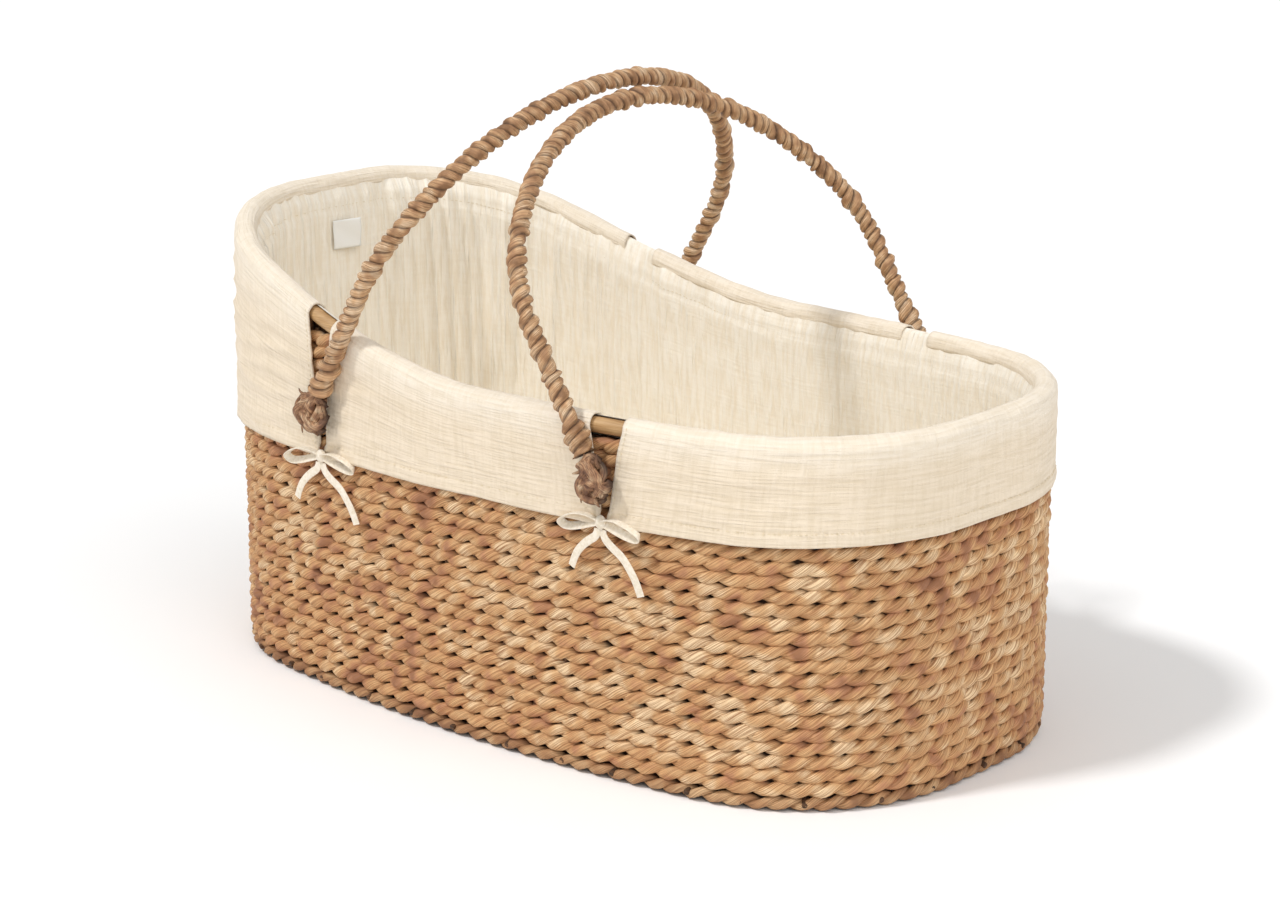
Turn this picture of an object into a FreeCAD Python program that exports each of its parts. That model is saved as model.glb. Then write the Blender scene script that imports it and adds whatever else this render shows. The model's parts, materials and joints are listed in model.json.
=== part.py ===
"""Moses basket: a woven oval basket with two folding carry handles, a tied fabric liner and a mattress.

Frame: +Z up, the foot end at +X, the head end (with the raised rim) at -X, the near side at -Y.
The origin is on the ground, under the middle of the basket.  All lengths are in millimetres.
"""
import FreeCAD, Part
import math
import os
import Sketcher
from FreeCAD import Placement, Rotation, Vector

doc = FreeCAD.newDocument("moses_basket")

# ---------------------------------------------------------------- driving dimensions

SIZES = [
    ("basket_length", 840, "outside length of the woven wall"),
    ("basket_width", 480, "outside width of the woven wall"),
    ("side_radius", 1600, "plan radius of the two long sides"),
    ("end_radius", 1500, "plan radius of the head and foot ends"),
    ("corner_radius", "=basket_width * 3 / 8", "plan radius of the four corners"),
    ("border_radius", 7, "section radius of the rolled border that the basket stands on"),
    ("border_flat", 0.2, "how far the border is pressed flat where it stands on the ground"),
    ("row_pitch", 12.47, "height of one woven row"),
    ("rows_per_band", 3, "rows woven with one length of leaf strand"),
    ("full_bands", 8, "bands of rows that go all the way round"),
    ("head_bands", 3, "bands of rows that only build up the head end"),
    ("weaver_depth", 6, "how far a woven row stands out from the stakes"),
    ("weaver_groove", 3.2, "depth of the groove between two rows"),
    ("band_least_height", 2, "height of a band where it ends against the climbing rim"),
    ("stake_radius", 2, "radius of an upright stake"),
    ("stake_spacing", 36, "spacing of the upright stakes round the wall"),
    ("stake_clearance", 1, "least distance between a stake and the hole of a lashing"),
    ("inner_weave_thick", 4, "thickness of the strands behind the stakes"),
    ("hoop_radius", 7, "section radius of the rim hoop"),
    ("rim_rise", 127, "rise of the rim curve from the foot level to the end of its ramp"),
    ("ramp_start", 30, "X where the rim starts to rise"),
    ("ramp_end", -550, "X where the rim curve would be level again, past the head end"),
    ("mat_thick", 5, "thickness of the woven base mat"),
    ("cane_radius", 3, "radius of a cane under the base mat"),
    ("cane_spacing", 230, "spacing of the canes along the basket"),
    ("runner_width", 24, "width of a flat runner on the base mat"),
    ("runner_thick", 3, "thickness of a flat runner on the base mat"),
    ("runner_length", 640, "length of a flat runner on the base mat"),
    ("runner_spread", 180, "distance between the two runners"),
    ("liner_thick", 9, "thickness of the padded liner wall"),
    ("liner_floor_thick", 3, "thickness of the liner floor"),
    ("rim_gap", 1.2, "air between the cloth on the rim and the woven wall, along the climb"),
    ("roll_thick", 2.7, "thickness of the liner cloth gathered over the rim hoop"),
    ("skirt_thick", 2.5, "thickness of the liner skirt outside the wall"),
    ("skirt_gap", 1, "air between the skirt and the wall"),
    ("skirt_drop_foot", "=row_pitch * 5.4755", "drop of the hem at the foot end below the top of the wall"),
    ("skirt_drop_head", "=row_pitch * 6.518", "drop of the hem at the head end below the top of the foot wall"),
    ("slot_width", 30, "width of the four openings in the skirt, where the handles come out"),
    ("slot_place", 178, "X of the foot end openings, and of the head end ones on the other side"),
    ("handle_radius", 9, "section radius of a wrapped handle"),
    ("handle_core_radius", 5, "section radius of the cane inside a handle"),
    ("handle_standoff", "=slot_place * 33 / 356", "distance from the wall to the middle of a handle's leg"),
    ("lashing_drop", 28.28, "how far the lashings that the handles turn on are below the top of the wall"),
    ("foot_handle_height", 330, "height of the foot handle above its lashings, along its own plane"),
    ("head_handle_height", 344, "height of the head handle above its lashings, along its own plane"),
    ("handle_leg", 136, "straight length of a handle's leg above its lashing"),
    ("handle_shoulder", 140, "radius of a handle's shoulders"),
    ("handle_meet", 7, "X of the foot handle's top, and of the head handle's on the other side"),
    ("knot_radius", 20, "radius of the knot at the end of a handle"),
    ("knot_thick", 16, "thickness of the knot at the end of a handle"),
    ("lashing_radius", 4, "radius of the lashing that a handle turns on"),
    ("lashing_clearance", 0.5, "gap round a lashing in the weave"),
    ("mattress_thick", 45, "thickness of the mattress with its cover"),
    ("mattress_cover", 1.2, "thickness of the mattress cover"),
    ("mattress_clearance", 4, "gap between the mattress and the liner wall"),
    ("mattress_edge", 10, "rounding of the mattress edges"),
    ("seat_gap", 0.3, "gap between two pieces that lie on each other"),
    ("label_width", 34, "width of the blank sewn label"),
    ("label_height", 30, "height of the blank sewn label"),
    ("label_thick", 0.6, "thickness of the blank sewn label"),
    ("label_level", 386, "height of the middle of the label"),
    ("tie_knot", 12, "size of the knot of a tie"),
    ("tie_knot_depth", 7.2, "how far the knot of a tie stands out"),
    ("tie_tape_width", 8, "width of the tie tape"),
    ("tie_loop_length", 42, "length of one loop of a tie"),
    ("tie_loop_depth", 5, "depth of one loop of a tie"),
    ("tie_loop_round", 2.1, "rounding of the edges of a loop"),
    ("tie_loop_droop", 14, "how far the end of a loop hangs below the knot"),
    ("tie_tail_radius", 2.5, "section radius of the plain solid of a tie's tail"),
]

sheet = doc.addObject("Spreadsheet::Sheet", "sizes")
for row, (alias, value, meaning) in enumerate(SIZES, start=1):
    sheet.set(f"A{row}", meaning)
    sheet.set(f"B{row}", str(value))
    sheet.setAlias(f"B{row}", alias)
doc.recompute()


def size(alias):
    """The value of one named cell."""
    return float(sheet.get(alias))


NODES = []


def keep(obj, label):
    """Give an object the name of its node and put it on the list of nodes to export."""
    obj.Label = label
    NODES.append(obj)
    return obj


def keep_shape(shape, label):
    """A node whose shape is worked out here from the sheet's values."""
    obj = doc.addObject("Part::Feature", label)
    obj.Shape = shape
    return keep(obj, label)


# ---------------------------------------------------------------- the plan outline

HALF_LENGTH = size("basket_length") / 2
HALF_WIDTH = size("basket_width") / 2
SIDE_RADIUS = size("side_radius")
END_RADIUS = size("end_radius")
CORNER_RADIUS = size("corner_radius")


def corner_centre():
    """Centre of the +X +Y corner arc, which touches the side arc and the end arc from inside."""
    side = Vector(0, HALF_WIDTH - SIDE_RADIUS, 0)
    end = Vector(HALF_LENGTH - END_RADIUS, 0, 0)
    from_side = SIDE_RADIUS - CORNER_RADIUS
    from_end = END_RADIUS - CORNER_RADIUS
    apart = (end - side).Length
    along = (from_side ** 2 - from_end ** 2 + apart ** 2) / (2 * apart)
    across = math.sqrt(from_side ** 2 - along ** 2)
    unit = (end - side) * (1 / apart)
    return side + unit * along + Vector(unit.y, -unit.x, 0) * across


CORNER = corner_centre()
SIDE_CENTRE = Vector(0, HALF_WIDTH - SIDE_RADIUS, 0)
END_CENTRE = Vector(HALF_LENGTH - END_RADIUS, 0, 0)
SIDE_JOINT = (CORNER - SIDE_CENTRE).normalize()
END_JOINT = (CORNER - END_CENTRE).normalize()
CORNER_MIDDLE = (SIDE_JOINT + END_JOINT).normalize()


def half_width_at(x, inset=0):
    """Half the outline's width at x, on the stretch that the side arcs cover."""
    return SIDE_CENTRE.y + math.sqrt((SIDE_RADIUS - inset) ** 2 - x ** 2)


def half_length_at(y, inset=0):
    """Half the outline's length at y, on the stretch that the end arcs cover."""
    return END_CENTRE.x + math.sqrt((END_RADIUS - inset) ** 2 - y ** 2)


def outline_points(inset, z):
    """The joints and middles of the arcs of a quarter outline, from the end's middle to the side's."""
    end = END_CENTRE + END_JOINT * (END_RADIUS - inset)
    corner = CORNER + CORNER_MIDDLE * (CORNER_RADIUS - inset)
    side = SIDE_CENTRE + SIDE_JOINT * (SIDE_RADIUS - inset)
    return [Vector(p.x, p.y, z) for p in (end, corner, side)]


def outline_wire(inset, z=0.0):
    """Closed outline of tangent arcs, moved in by inset, starting at the middle of the far side."""
    end, corner, side = outline_points(inset, z)
    tip = Vector(HALF_LENGTH - inset, 0, z)
    top = Vector(0, HALF_WIDTH - inset, z)
    half_side = Vector(side.x / 2, half_width_at(side.x / 2, inset), z)

    def flip(p, sx, sy):
        return Vector(p.x * sx, p.y * sy, z)

    low = flip(top, 1, -1)
    spans = [
        (top, half_side, side),
        (side, corner, end),
        (end, tip, flip(end, 1, -1)),
        (flip(end, 1, -1), flip(corner, 1, -1), flip(side, 1, -1)),
        (flip(side, 1, -1), low, flip(side, -1, -1)),
        (flip(side, -1, -1), flip(corner, -1, -1), flip(end, -1, -1)),
        (flip(end, -1, -1), flip(tip, -1, 1), flip(end, -1, 1)),
        (flip(end, -1, 1), flip(corner, -1, 1), flip(side, -1, 1)),
        (flip(side, -1, 1), flip(half_side, -1, 1), top),
    ]
    return Part.Wire([Part.Arc(*span).toShape() for span in spans])


def ring(outer_inset, inner_inset, low, high):
    """Upright ring that follows the outline between two insets and two heights."""
    outer = Part.Face(outline_wire(outer_inset, low)).extrude(Vector(0, 0, high - low))
    inner = Part.Face(outline_wire(inner_inset, low - 1)).extrude(Vector(0, 0, high - low + 2))
    return outer.cut(inner)


def tube_along(wire, start, tangent, radius):
    """Round tube swept along a wire."""
    circle = Part.Wire(Part.makeCircle(radius, start, tangent))
    return wire.makePipeShell([circle], True, False)


def smooth_route(points, share=0.45):
    """Straight runs joined by tangent arcs; returns the wire and the radii of its arcs."""
    edges = []
    radii = []
    last = points[0]
    for before, here, after in zip(points, points[1:], points[2:]):
        back = before - here
        on = after - here
        turn = math.pi - back.getAngle(on)
        cut = share * min(back.Length, on.Length)
        radii.append(cut / math.tan(turn / 2))
        back.normalize()
        on.normalize()
        first = here + back * cut
        end = here + on * cut
        bisector = (back + on).normalize()
        radius = radii[-1]
        middle = here + bisector * (math.hypot(radius, cut) - radius)
        edges.append(Part.LineSegment(last, first).toShape())
        edges.append(Part.Arc(first, middle, end).toShape())
        last = end
    edges.append(Part.LineSegment(last, points[-1]).toShape())
    return Part.Wire(edges), radii


# ---------------------------------------------------------------- heights

BORDER_RADIUS = size("border_radius")
SEAT_GAP = size("seat_gap")
CLOSE_GAP = SEAT_GAP / 3
HOOP_RADIUS = size("hoop_radius")
WALL_BASE = 2 * BORDER_RADIUS
BAND_HEIGHT = size("row_pitch") * size("rows_per_band")
FOOT_WALL_TOP = WALL_BASE + BAND_HEIGHT * size("full_bands")
ROLL_RADIUS = HOOP_RADIUS + SEAT_GAP + size("roll_thick")
RIM_FOOT = FOOT_WALL_TOP + ROLL_RADIUS + SEAT_GAP
HEM_FOOT = FOOT_WALL_TOP - size("skirt_drop_foot")
HEM_HEAD = FOOT_WALL_TOP - size("skirt_drop_head")
WEAVER_DEPTH = size("weaver_depth")
STAKE_INSET = WEAVER_DEPTH + size("stake_radius") + SEAT_GAP
INNER_WEAVE_OUT = STAKE_INSET + size("stake_radius") + SEAT_GAP
INNER_WEAVE_IN = INNER_WEAVE_OUT + size("inner_weave_thick")
RIM_INSET = INNER_WEAVE_IN / 2
LINER_OUT = INNER_WEAVE_IN + SEAT_GAP
LINER_IN = LINER_OUT + size("liner_thick")
# The blocks that trim the wall, the liner and the skirt reach this far from the middle.
REACH = HALF_LENGTH + 60
RAMP_STEPS = 8
OUTLINE_STEPS = 360
RIM_STEP = 6


def rim_height(x):
    """Height of the middle of the rim hoop at x: level at the foot, a smooth ramp to the head."""
    start = size("ramp_start")
    share = min(max((start - x) / (start - size("ramp_end")), 0), 1)
    return RIM_FOOT + size("rim_rise") * share ** 2 * (3 - 2 * share)


def under_rim(low_head, low_foot, drop, left=-REACH, right=REACH):
    """Block over the whole width, below the rim line less a drop, above a straight sloping line."""
    start = min(size("ramp_start"), right)
    bends = [left + (start - left) * i / RAMP_STEPS for i in range(RAMP_STEPS + 1)]
    top = Part.BSplineCurve()
    top.interpolate([Vector(x, -REACH, rim_height(x) - drop) for x in bends])

    def low(x):
        share = (x + HALF_LENGTH) / (2 * HALF_LENGTH)
        return low_head + (low_foot - low_head) * share

    corner = Vector(left, -REACH, low(left))
    last = Vector(right, -REACH, low(right))
    edges = [top.toShape()]
    end_top = Vector(start, -REACH, rim_height(start) - drop)
    if right > start:
        level = Vector(right, -REACH, rim_height(right) - drop)
        edges.append(Part.makeLine(end_top, level))
        end_top = level
    edges.append(Part.makeLine(end_top, last))
    edges.append(Part.makeLine(last, corner))
    edges.append(Part.makeLine(corner, Vector(left, -REACH, rim_height(left) - drop)))
    return Part.Face(Part.Wire(edges)).extrude(Vector(0, 2 * REACH, 0))


def ramp_place(height):
    """X on the ramp where the rim hoop's middle is at a height."""
    low, high = -REACH, size("ramp_start")
    for _ in range(40):
        middle = (low + high) / 2
        if rim_height(middle) > height:
            low = middle
        else:
            high = middle
    return low


# ---------------------------------------------------------------- base

def base_border():
    """The rolled border round the bottom edge, pressed a little flat where the basket stands on it."""
    level = BORDER_RADIUS - size("border_flat")
    half = math.sqrt(BORDER_RADIUS ** 2 - level ** 2)
    middle = Vector(0, HALF_WIDTH - BORDER_RADIUS, level)
    low_out = middle + Vector(0, half, -level)
    low_in = middle + Vector(0, -half, -level)
    crest = middle + Vector(0, 0, BORDER_RADIUS)
    section = Part.Wire([Part.Arc(low_out, crest, low_in).toShape(), Part.makeLine(low_in, low_out)])
    border = outline_wire(BORDER_RADIUS, level).makePipeShell([section], True, False)
    keep_shape(border, "base_border")


def outline_rules(arcs):
    """Tangent joints round the outline, equal radii, and arc centres on the two axes."""
    rules = []
    for i, this in enumerate(arcs):
        rules.append(Sketcher.Constraint("Tangent", this, 2, arcs[(i + 1) % len(arcs)], 1))
    for other in (3, 5, 7):
        rules.append(Sketcher.Constraint("Equal", arcs[1], arcs[other]))
    rules.append(Sketcher.Constraint("Equal", arcs[0], arcs[4]))
    rules.append(Sketcher.Constraint("Equal", arcs[2], arcs[6]))
    for i in (0, 4):
        rules.append(Sketcher.Constraint("PointOnObject", arcs[i], 3, -1))
    for i in (2, 6):
        rules.append(Sketcher.Constraint("PointOnObject", arcs[i], 3, -2))
    return rules


def sketch_outline(body, name, inset, inset_expression):
    """Sketch of the plan outline on the body's XY plane, each arc tied to the sheet."""
    plane = [f for f in body.Origin.OriginFeatures if f.Role == "XY_Plane"][0]
    sketch = body.newObject("Sketcher::SketchObject", name)
    sketch.AttachmentSupport = [(plane, "")]
    sketch.MapMode = "FlatFace"
    end, corner, side = outline_points(inset, 0)

    def arc(centre, radius, first, last):
        """Arc from one point to another, turning left."""
        a = math.atan2(first.y - centre.y, first.x - centre.x)
        b = math.atan2(last.y - centre.y, last.x - centre.x)
        if b < a:
            b += 2 * math.pi
        circle = Part.Circle(centre, Vector(0, 0, 1), radius)
        return sketch.addGeometry(Part.ArcOfCircle(circle, a, b), False)

    def flip(p, sx, sy):
        return Vector(p.x * sx, p.y * sy, 0)

    end_r = END_RADIUS - inset
    side_r = SIDE_RADIUS - inset
    corner_r = CORNER_RADIUS - inset
    arcs = [
        arc(END_CENTRE, end_r, flip(end, 1, -1), end),
        arc(CORNER, corner_r, end, side),
        arc(SIDE_CENTRE, side_r, side, flip(side, -1, 1)),
        arc(flip(CORNER, -1, 1), corner_r, flip(side, -1, 1), flip(end, -1, 1)),
        arc(flip(END_CENTRE, -1, 1), end_r, flip(end, -1, 1), flip(end, -1, -1)),
        arc(flip(CORNER, -1, -1), corner_r, flip(end, -1, -1), flip(side, -1, -1)),
        arc(flip(SIDE_CENTRE, 1, -1), side_r, flip(side, -1, -1), flip(side, 1, -1)),
        arc(flip(CORNER, 1, -1), corner_r, flip(side, 1, -1), flip(end, 1, -1)),
    ]
    for rule in outline_rules(arcs):
        sketch.addConstraint(rule)
    lengths = [
        ("end_arc", Sketcher.Constraint("Radius", arcs[0], end_r),
         "sizes.end_radius - inset"),
        ("corner_arc", Sketcher.Constraint("Radius", arcs[1], corner_r),
         "sizes.corner_radius - inset"),
        ("side_arc", Sketcher.Constraint("Radius", arcs[2], side_r),
         "sizes.side_radius - inset"),
        ("end_place", Sketcher.Constraint("DistanceX", arcs[0], 3, -1, 1, -END_CENTRE.x),
         "sizes.end_radius - sizes.basket_length / 2"),
        ("side_place", Sketcher.Constraint("DistanceY", arcs[2], 3, -1, 1, -SIDE_CENTRE.y),
         "sizes.side_radius - sizes.basket_width / 2"),
        ("far_end_place", Sketcher.Constraint("DistanceX", -1, 1, arcs[4], 3, -END_CENTRE.x),
         "sizes.end_radius - sizes.basket_length / 2"),
        ("far_side_place", Sketcher.Constraint("DistanceY", -1, 1, arcs[6], 3, -SIDE_CENTRE.y),
         "sizes.side_radius - sizes.basket_width / 2"),
    ]
    for label, rule, expression in lengths:
        index = sketch.addConstraint(rule)
        sketch.renameConstraint(index, label)
        text = expression.replace("inset", f"({inset_expression})")
        sketch.setExpression(f"Constraints.{label}", text)
    return sketch


def plate(label, inset, inset_expression, thick_expression, height_expression):
    """Flat plate with the plan outline, as a body with one pad."""
    body = doc.addObject("PartDesign::Body", label)
    sketch = sketch_outline(body, f"{label}_outline", inset, inset_expression)
    pad = body.newObject("PartDesign::Pad", f"{label}_pad")
    pad.Profile = sketch
    pad.setExpression("Length", thick_expression)
    body.setExpression("Placement.Base.z", height_expression)
    return body


def base_mat():
    """The woven mat that closes the bottom, inside the border."""
    inset = "2 * sizes.border_radius + sizes.seat_gap"
    height = "2 * sizes.border_radius - sizes.mat_thick"
    keep(plate("base_mat", 2 * BORDER_RADIUS + SEAT_GAP, inset, "sizes.mat_thick", height), "base_mat")


def base_canes():
    """Three round canes under the mat, from border to border."""
    for i, column in enumerate((-1, 0, 1), start=1):
        x = column * size("cane_spacing")
        cane = doc.addObject("Part::Cylinder", f"base_cane_{i}")
        cane.setExpression("Radius", "sizes.cane_radius")
        reach = half_width_at(x, 2 * BORDER_RADIUS + SEAT_GAP)
        cane.Height = 2 * reach
        height = WALL_BASE - size("mat_thick") - SEAT_GAP - size("cane_radius")
        cane.Placement = Placement(Vector(x, reach, height), Rotation(Vector(1, 0, 0), 90))
        keep(cane, f"base_cane_{i}")


def base_runners():
    """Two flat slats that lie lengthwise on the mat."""
    for name, side in (("near", -1), ("far", 1)):
        slat = doc.addObject("Part::Box", f"base_runner_{name}")
        slat.setExpression("Length", "sizes.runner_length")
        slat.setExpression("Width", "sizes.runner_width")
        slat.setExpression("Height", "sizes.runner_thick")
        slat.setExpression("Placement.Base.x", "-sizes.runner_length / 2")
        place = f"{side} * sizes.runner_spread / 2 - sizes.runner_width / 2"
        slat.setExpression("Placement.Base.y", place)
        slat.setExpression("Placement.Base.z", "2 * sizes.border_radius + sizes.seat_gap")
        keep(slat, f"base_runner_{name}")


# ---------------------------------------------------------------- woven wall

PIVOT_X = size("slot_place")
PIVOT_Z = FOOT_WALL_TOP - size("lashing_drop")
PIVOT_Y = half_width_at(PIVOT_X) + size("handle_standoff")
RIM_DROP = ROLL_RADIUS + size("rim_gap")
HANDLES = (("foot", 1), ("head", -1))
SIDES = (("near", -1), ("far", 1))


def lashing_holes():
    """Round holes in the wall at the four places where a handle is lashed through it."""
    radius = size("lashing_radius") + size("lashing_clearance")
    inside = half_width_at(PIVOT_X, LINER_IN)
    holes = []
    for _, end in HANDLES:
        for _, side in SIDES:
            start = Vector(end * PIVOT_X, side * inside, PIVOT_Z)
            holes.append(Part.makeCylinder(radius, PIVOT_Y - inside, start, Vector(0, side, 0)))
    return holes


def upright_stakes():
    """The upright stakes that the rows are woven round, at an even spacing, clear of the lashings."""
    wire = outline_wire(STAKE_INSET, WALL_BASE + SEAT_GAP)
    count = round(wire.Length / size("stake_spacing"))
    clear = size("lashing_radius") + size("lashing_clearance") + size("stake_radius")
    clear += size("stake_clearance")
    stakes = []
    for foot in wire.discretize(Number=count + 1)[:-1]:
        if abs(abs(foot.x) - PIVOT_X) < clear and abs(foot.y) > HALF_WIDTH / 2:
            continue
        top = rim_height(foot.x) - RIM_DROP - size("stake_radius")
        stakes.append(Part.makeCylinder(size("stake_radius"), top - foot.z, foot))
    keep_shape(Part.makeCompound(stakes), "upright_stakes")


def inner_weave():
    """The strands behind the stakes, as one thin wall with the lashing holes."""
    wall = ring(INNER_WEAVE_OUT, INNER_WEAVE_IN, WALL_BASE + SEAT_GAP, RIM_FOOT + size("rim_rise"))
    wall = wall.common(under_rim(0, 0, RIM_DROP))
    for hole in lashing_holes():
        wall = wall.cut(hole)
    keep_shape(wall, "inner_weave")


def band_ring(low):
    """One band of rows all the way round: each row bulges out between two grooves."""
    pitch = size("row_pitch")
    start = Vector(0, HALF_WIDTH, low)

    def point(inset, height):
        return Vector(0, start.y - inset, low + height)

    groove = size("weaver_groove")
    edges = []
    for i in range(int(size("rows_per_band"))):
        foot = point(groove, i * pitch)
        crest = point(0, (i + 0.5) * pitch)
        head = point(groove, (i + 1) * pitch)
        edges.append(Part.Arc(foot, crest, head).toShape())
    edges.append(Part.makeLine(point(groove, BAND_HEIGHT), point(WEAVER_DEPTH, BAND_HEIGHT)))
    edges.append(Part.makeLine(point(WEAVER_DEPTH, BAND_HEIGHT), point(WEAVER_DEPTH, 0)))
    edges.append(Part.makeLine(point(WEAVER_DEPTH, 0), point(groove, 0)))
    return outline_wire(0, low).makePipeShell([Part.Wire(edges)], True, False)


def weave_bands():
    """The outer rows of the wall, in bands: the lower ones closed, the top ones only at the head."""
    full = int(size("full_bands"))
    for i in range(full + int(size("head_bands"))):
        low = WALL_BASE + i * BAND_HEIGHT
        band = band_ring(low)
        if i >= full:
            right = ramp_place(low + RIM_DROP + size("band_least_height"))
            band = band.common(under_rim(0, 0, RIM_DROP, right=right))
        for hole in lashing_holes():
            if low < PIVOT_Z < low + BAND_HEIGHT:
                band = band.cut(hole)
        keep_shape(band, f"weave_band_{i + 1:02d}")


def rim_points(wanted):
    """Points along the middle of the rim hoop, over the stretch of the outline that is wanted."""
    flat = outline_wire(RIM_INSET).discretize(Number=OUTLINE_STEPS + 1)[:-1]
    chosen = [wanted(p) for p in flat]
    first = [i for i in range(OUTLINE_STEPS) if chosen[i] and not chosen[i - 1]][0]
    last = first + sum(chosen) - 1
    # The hoops and the cloth over them turn at the same points, so they stay the same gap apart.
    picked = [i for i in range(first, last + 1) if i % RIM_STEP == 0 or i in (first, last)]
    stretch = [flat[i % OUTLINE_STEPS] for i in picked]
    return [Vector(p.x, p.y, rim_height(p.x)) for p in stretch]


def rim_hoops():
    """The rim hoop: two bent canes that meet at the middle of the head and of the foot."""
    for name, side in SIDES:
        points = rim_points(lambda p: side * p.y > -CLOSE_GAP)
        for tip in (points[0], points[-1]):
            tip.y = side * SEAT_GAP
        wire, _ = smooth_route(points)
        tube = tube_along(wire, points[0], (points[1] - points[0]).normalize(), HOOP_RADIUS)
        keep_shape(tube, f"rim_hoop_{name}")


# ---------------------------------------------------------------- carry handles

def handle_path(end, height, first, last):
    """Arch of a handle between two heights above its lashings, leaning in over the basket."""
    lean = math.asin((PIVOT_X - size("handle_meet")) / height)
    leg = size("handle_leg")
    shoulder = size("handle_shoulder")
    rise = height - leg
    crown = ((PIVOT_Y - shoulder) ** 2 + rise ** 2 - shoulder ** 2) / (2 * (rise - shoulder))
    turn = math.asin((PIVOT_Y - shoulder) / (crown - shoulder))

    def place(across, up):
        """Point in the handle's plane: across the basket, and up along the lean."""
        x = end * (PIVOT_X - up * math.sin(lean))
        return Vector(x, across, PIVOT_Z + up * math.cos(lean))

    def on_shoulder(side, angle):
        across = PIVOT_Y - shoulder + shoulder * math.cos(angle)
        return place(side * across, leg + shoulder * math.sin(angle))

    full = math.pi / 2 - turn
    edges = [
        Part.makeLine(place(-PIVOT_Y, first), place(-PIVOT_Y, leg)),
        Part.Arc(place(-PIVOT_Y, leg), on_shoulder(-1, full / 2), on_shoulder(-1, full)).toShape(),
        Part.Arc(on_shoulder(-1, full), place(0, height), on_shoulder(1, full)).toShape(),
        Part.Arc(on_shoulder(1, full), on_shoulder(1, full / 2), place(PIVOT_Y, leg)).toShape(),
        Part.makeLine(place(PIVOT_Y, leg), place(PIVOT_Y, last)),
    ]
    start = place(-PIVOT_Y, first)
    return Part.Wire(edges), start, (place(-PIVOT_Y, leg) - start).normalize()


def handle(name, end):
    """One carry handle: cane core, leaf wrap, and a knot and a lashing at each end."""
    height = size(f"{name}_handle_height")
    foot = size("knot_radius") + SEAT_GAP
    wire, start, direction = handle_path(end, height, foot, foot)
    core_radius = size("handle_core_radius")
    core = tube_along(wire, start, direction, core_radius)
    keep_shape(core, f"{name}_handle_core")
    outer = tube_along(wire, start, direction, size("handle_radius"))
    hollow = tube_along(wire, start, direction, core_radius + CLOSE_GAP)
    keep_shape(outer.cut(hollow), f"{name}_handle_wrap")
    for side_name, side in SIDES:
        inner_face = PIVOT_Y - size("knot_thick") / 2
        tail = half_width_at(PIVOT_X - size("lashing_radius"), INNER_WEAVE_IN)
        turned = Rotation(Vector(1, 0, 0), -90 * side)
        knot = doc.addObject("Part::Cylinder", f"{name}_handle_knot_{side_name}")
        knot.setExpression("Radius", "sizes.knot_radius")
        knot.setExpression("Height", "sizes.knot_thick")
        knot.Placement = Placement(Vector(end * PIVOT_X, side * inner_face, PIVOT_Z), turned)
        keep(knot, f"{name}_handle_knot_{side_name}")
        lashing = doc.addObject("Part::Cylinder", f"{name}_handle_lashing_{side_name}")
        lashing.setExpression("Radius", "sizes.lashing_radius")
        lashing.Height = inner_face - tail
        lashing.Placement = Placement(Vector(end * PIVOT_X, side * tail, PIVOT_Z), turned)
        keep(lashing, f"{name}_handle_lashing_{side_name}")


# ---------------------------------------------------------------- liner

PANELS = ("near", "far", "head", "foot")


def panel_block(name):
    """Block that holds one of the four panels between the openings for the handles."""
    edge = PIVOT_X - size("slot_width") / 2
    tall = RIM_FOOT + 2 * size("rim_rise")
    if name in ("near", "far"):
        corner = Vector(-edge, -REACH if name == "near" else 0, 0)
        return Part.makeBox(2 * edge, REACH, tall, corner)
    edge = PIVOT_X + size("slot_width") / 2
    corner = Vector(edge if name == "foot" else -REACH, -REACH, 0)
    return Part.makeBox(REACH - edge, 2 * REACH, tall, corner)


def liner_wall():
    """The padded wall of the liner, inside the basket."""
    low = WALL_BASE + SEAT_GAP + size("runner_thick") + SEAT_GAP
    wall = ring(LINER_OUT, LINER_IN, low, RIM_FOOT + size("rim_rise"))
    keep_shape(wall.common(under_rim(0, 0, ROLL_RADIUS + SEAT_GAP)), "liner_wall")


def liner_floor():
    """The floor of the liner, on the runners, inside its wall."""
    inset = ("sizes.weaver_depth + 2 * sizes.stake_radius + sizes.inner_weave_thick"
             " + sizes.liner_thick + 4 * sizes.seat_gap")
    height = "2 * sizes.border_radius + sizes.runner_thick + 2 * sizes.seat_gap"
    body = plate("liner_floor", LINER_IN + SEAT_GAP, inset, "sizes.liner_floor_thick", height)
    keep(body, "liner_floor")


def gathered_roll(wanted):
    """The cloth over one stretch of the rim hoop: a tube whose skins and end rings are sewn up."""
    points = rim_points(wanted)
    path, _ = smooth_route(points)
    first = (points[1] - points[0]).normalize()
    last = (points[-1] - points[-2]).normalize()
    radii = (ROLL_RADIUS, HOOP_RADIUS + SEAT_GAP)
    faces = []
    for radius in radii:
        circle = Part.Wire(Part.makeCircle(radius, points[0], first))
        skin = path.makePipeShell([circle], False, False)
        if radius != ROLL_RADIUS:
            skin.reverse()
        faces += skin.Faces
    for at, direction in ((points[0], first), (points[-1], last)):
        faces.append(Part.Face([Part.Wire(Part.makeCircle(radius, at, direction)) for radius in radii]))
    sewn = Part.makeCompound(faces)
    sewn.sewShape(0.01)
    roll = Part.makeSolid(sewn.Shells[0])
    roll.fix(0.01, 0.01, 0.01)
    if roll.Volume < 0:
        roll.reverse()
    return roll


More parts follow.
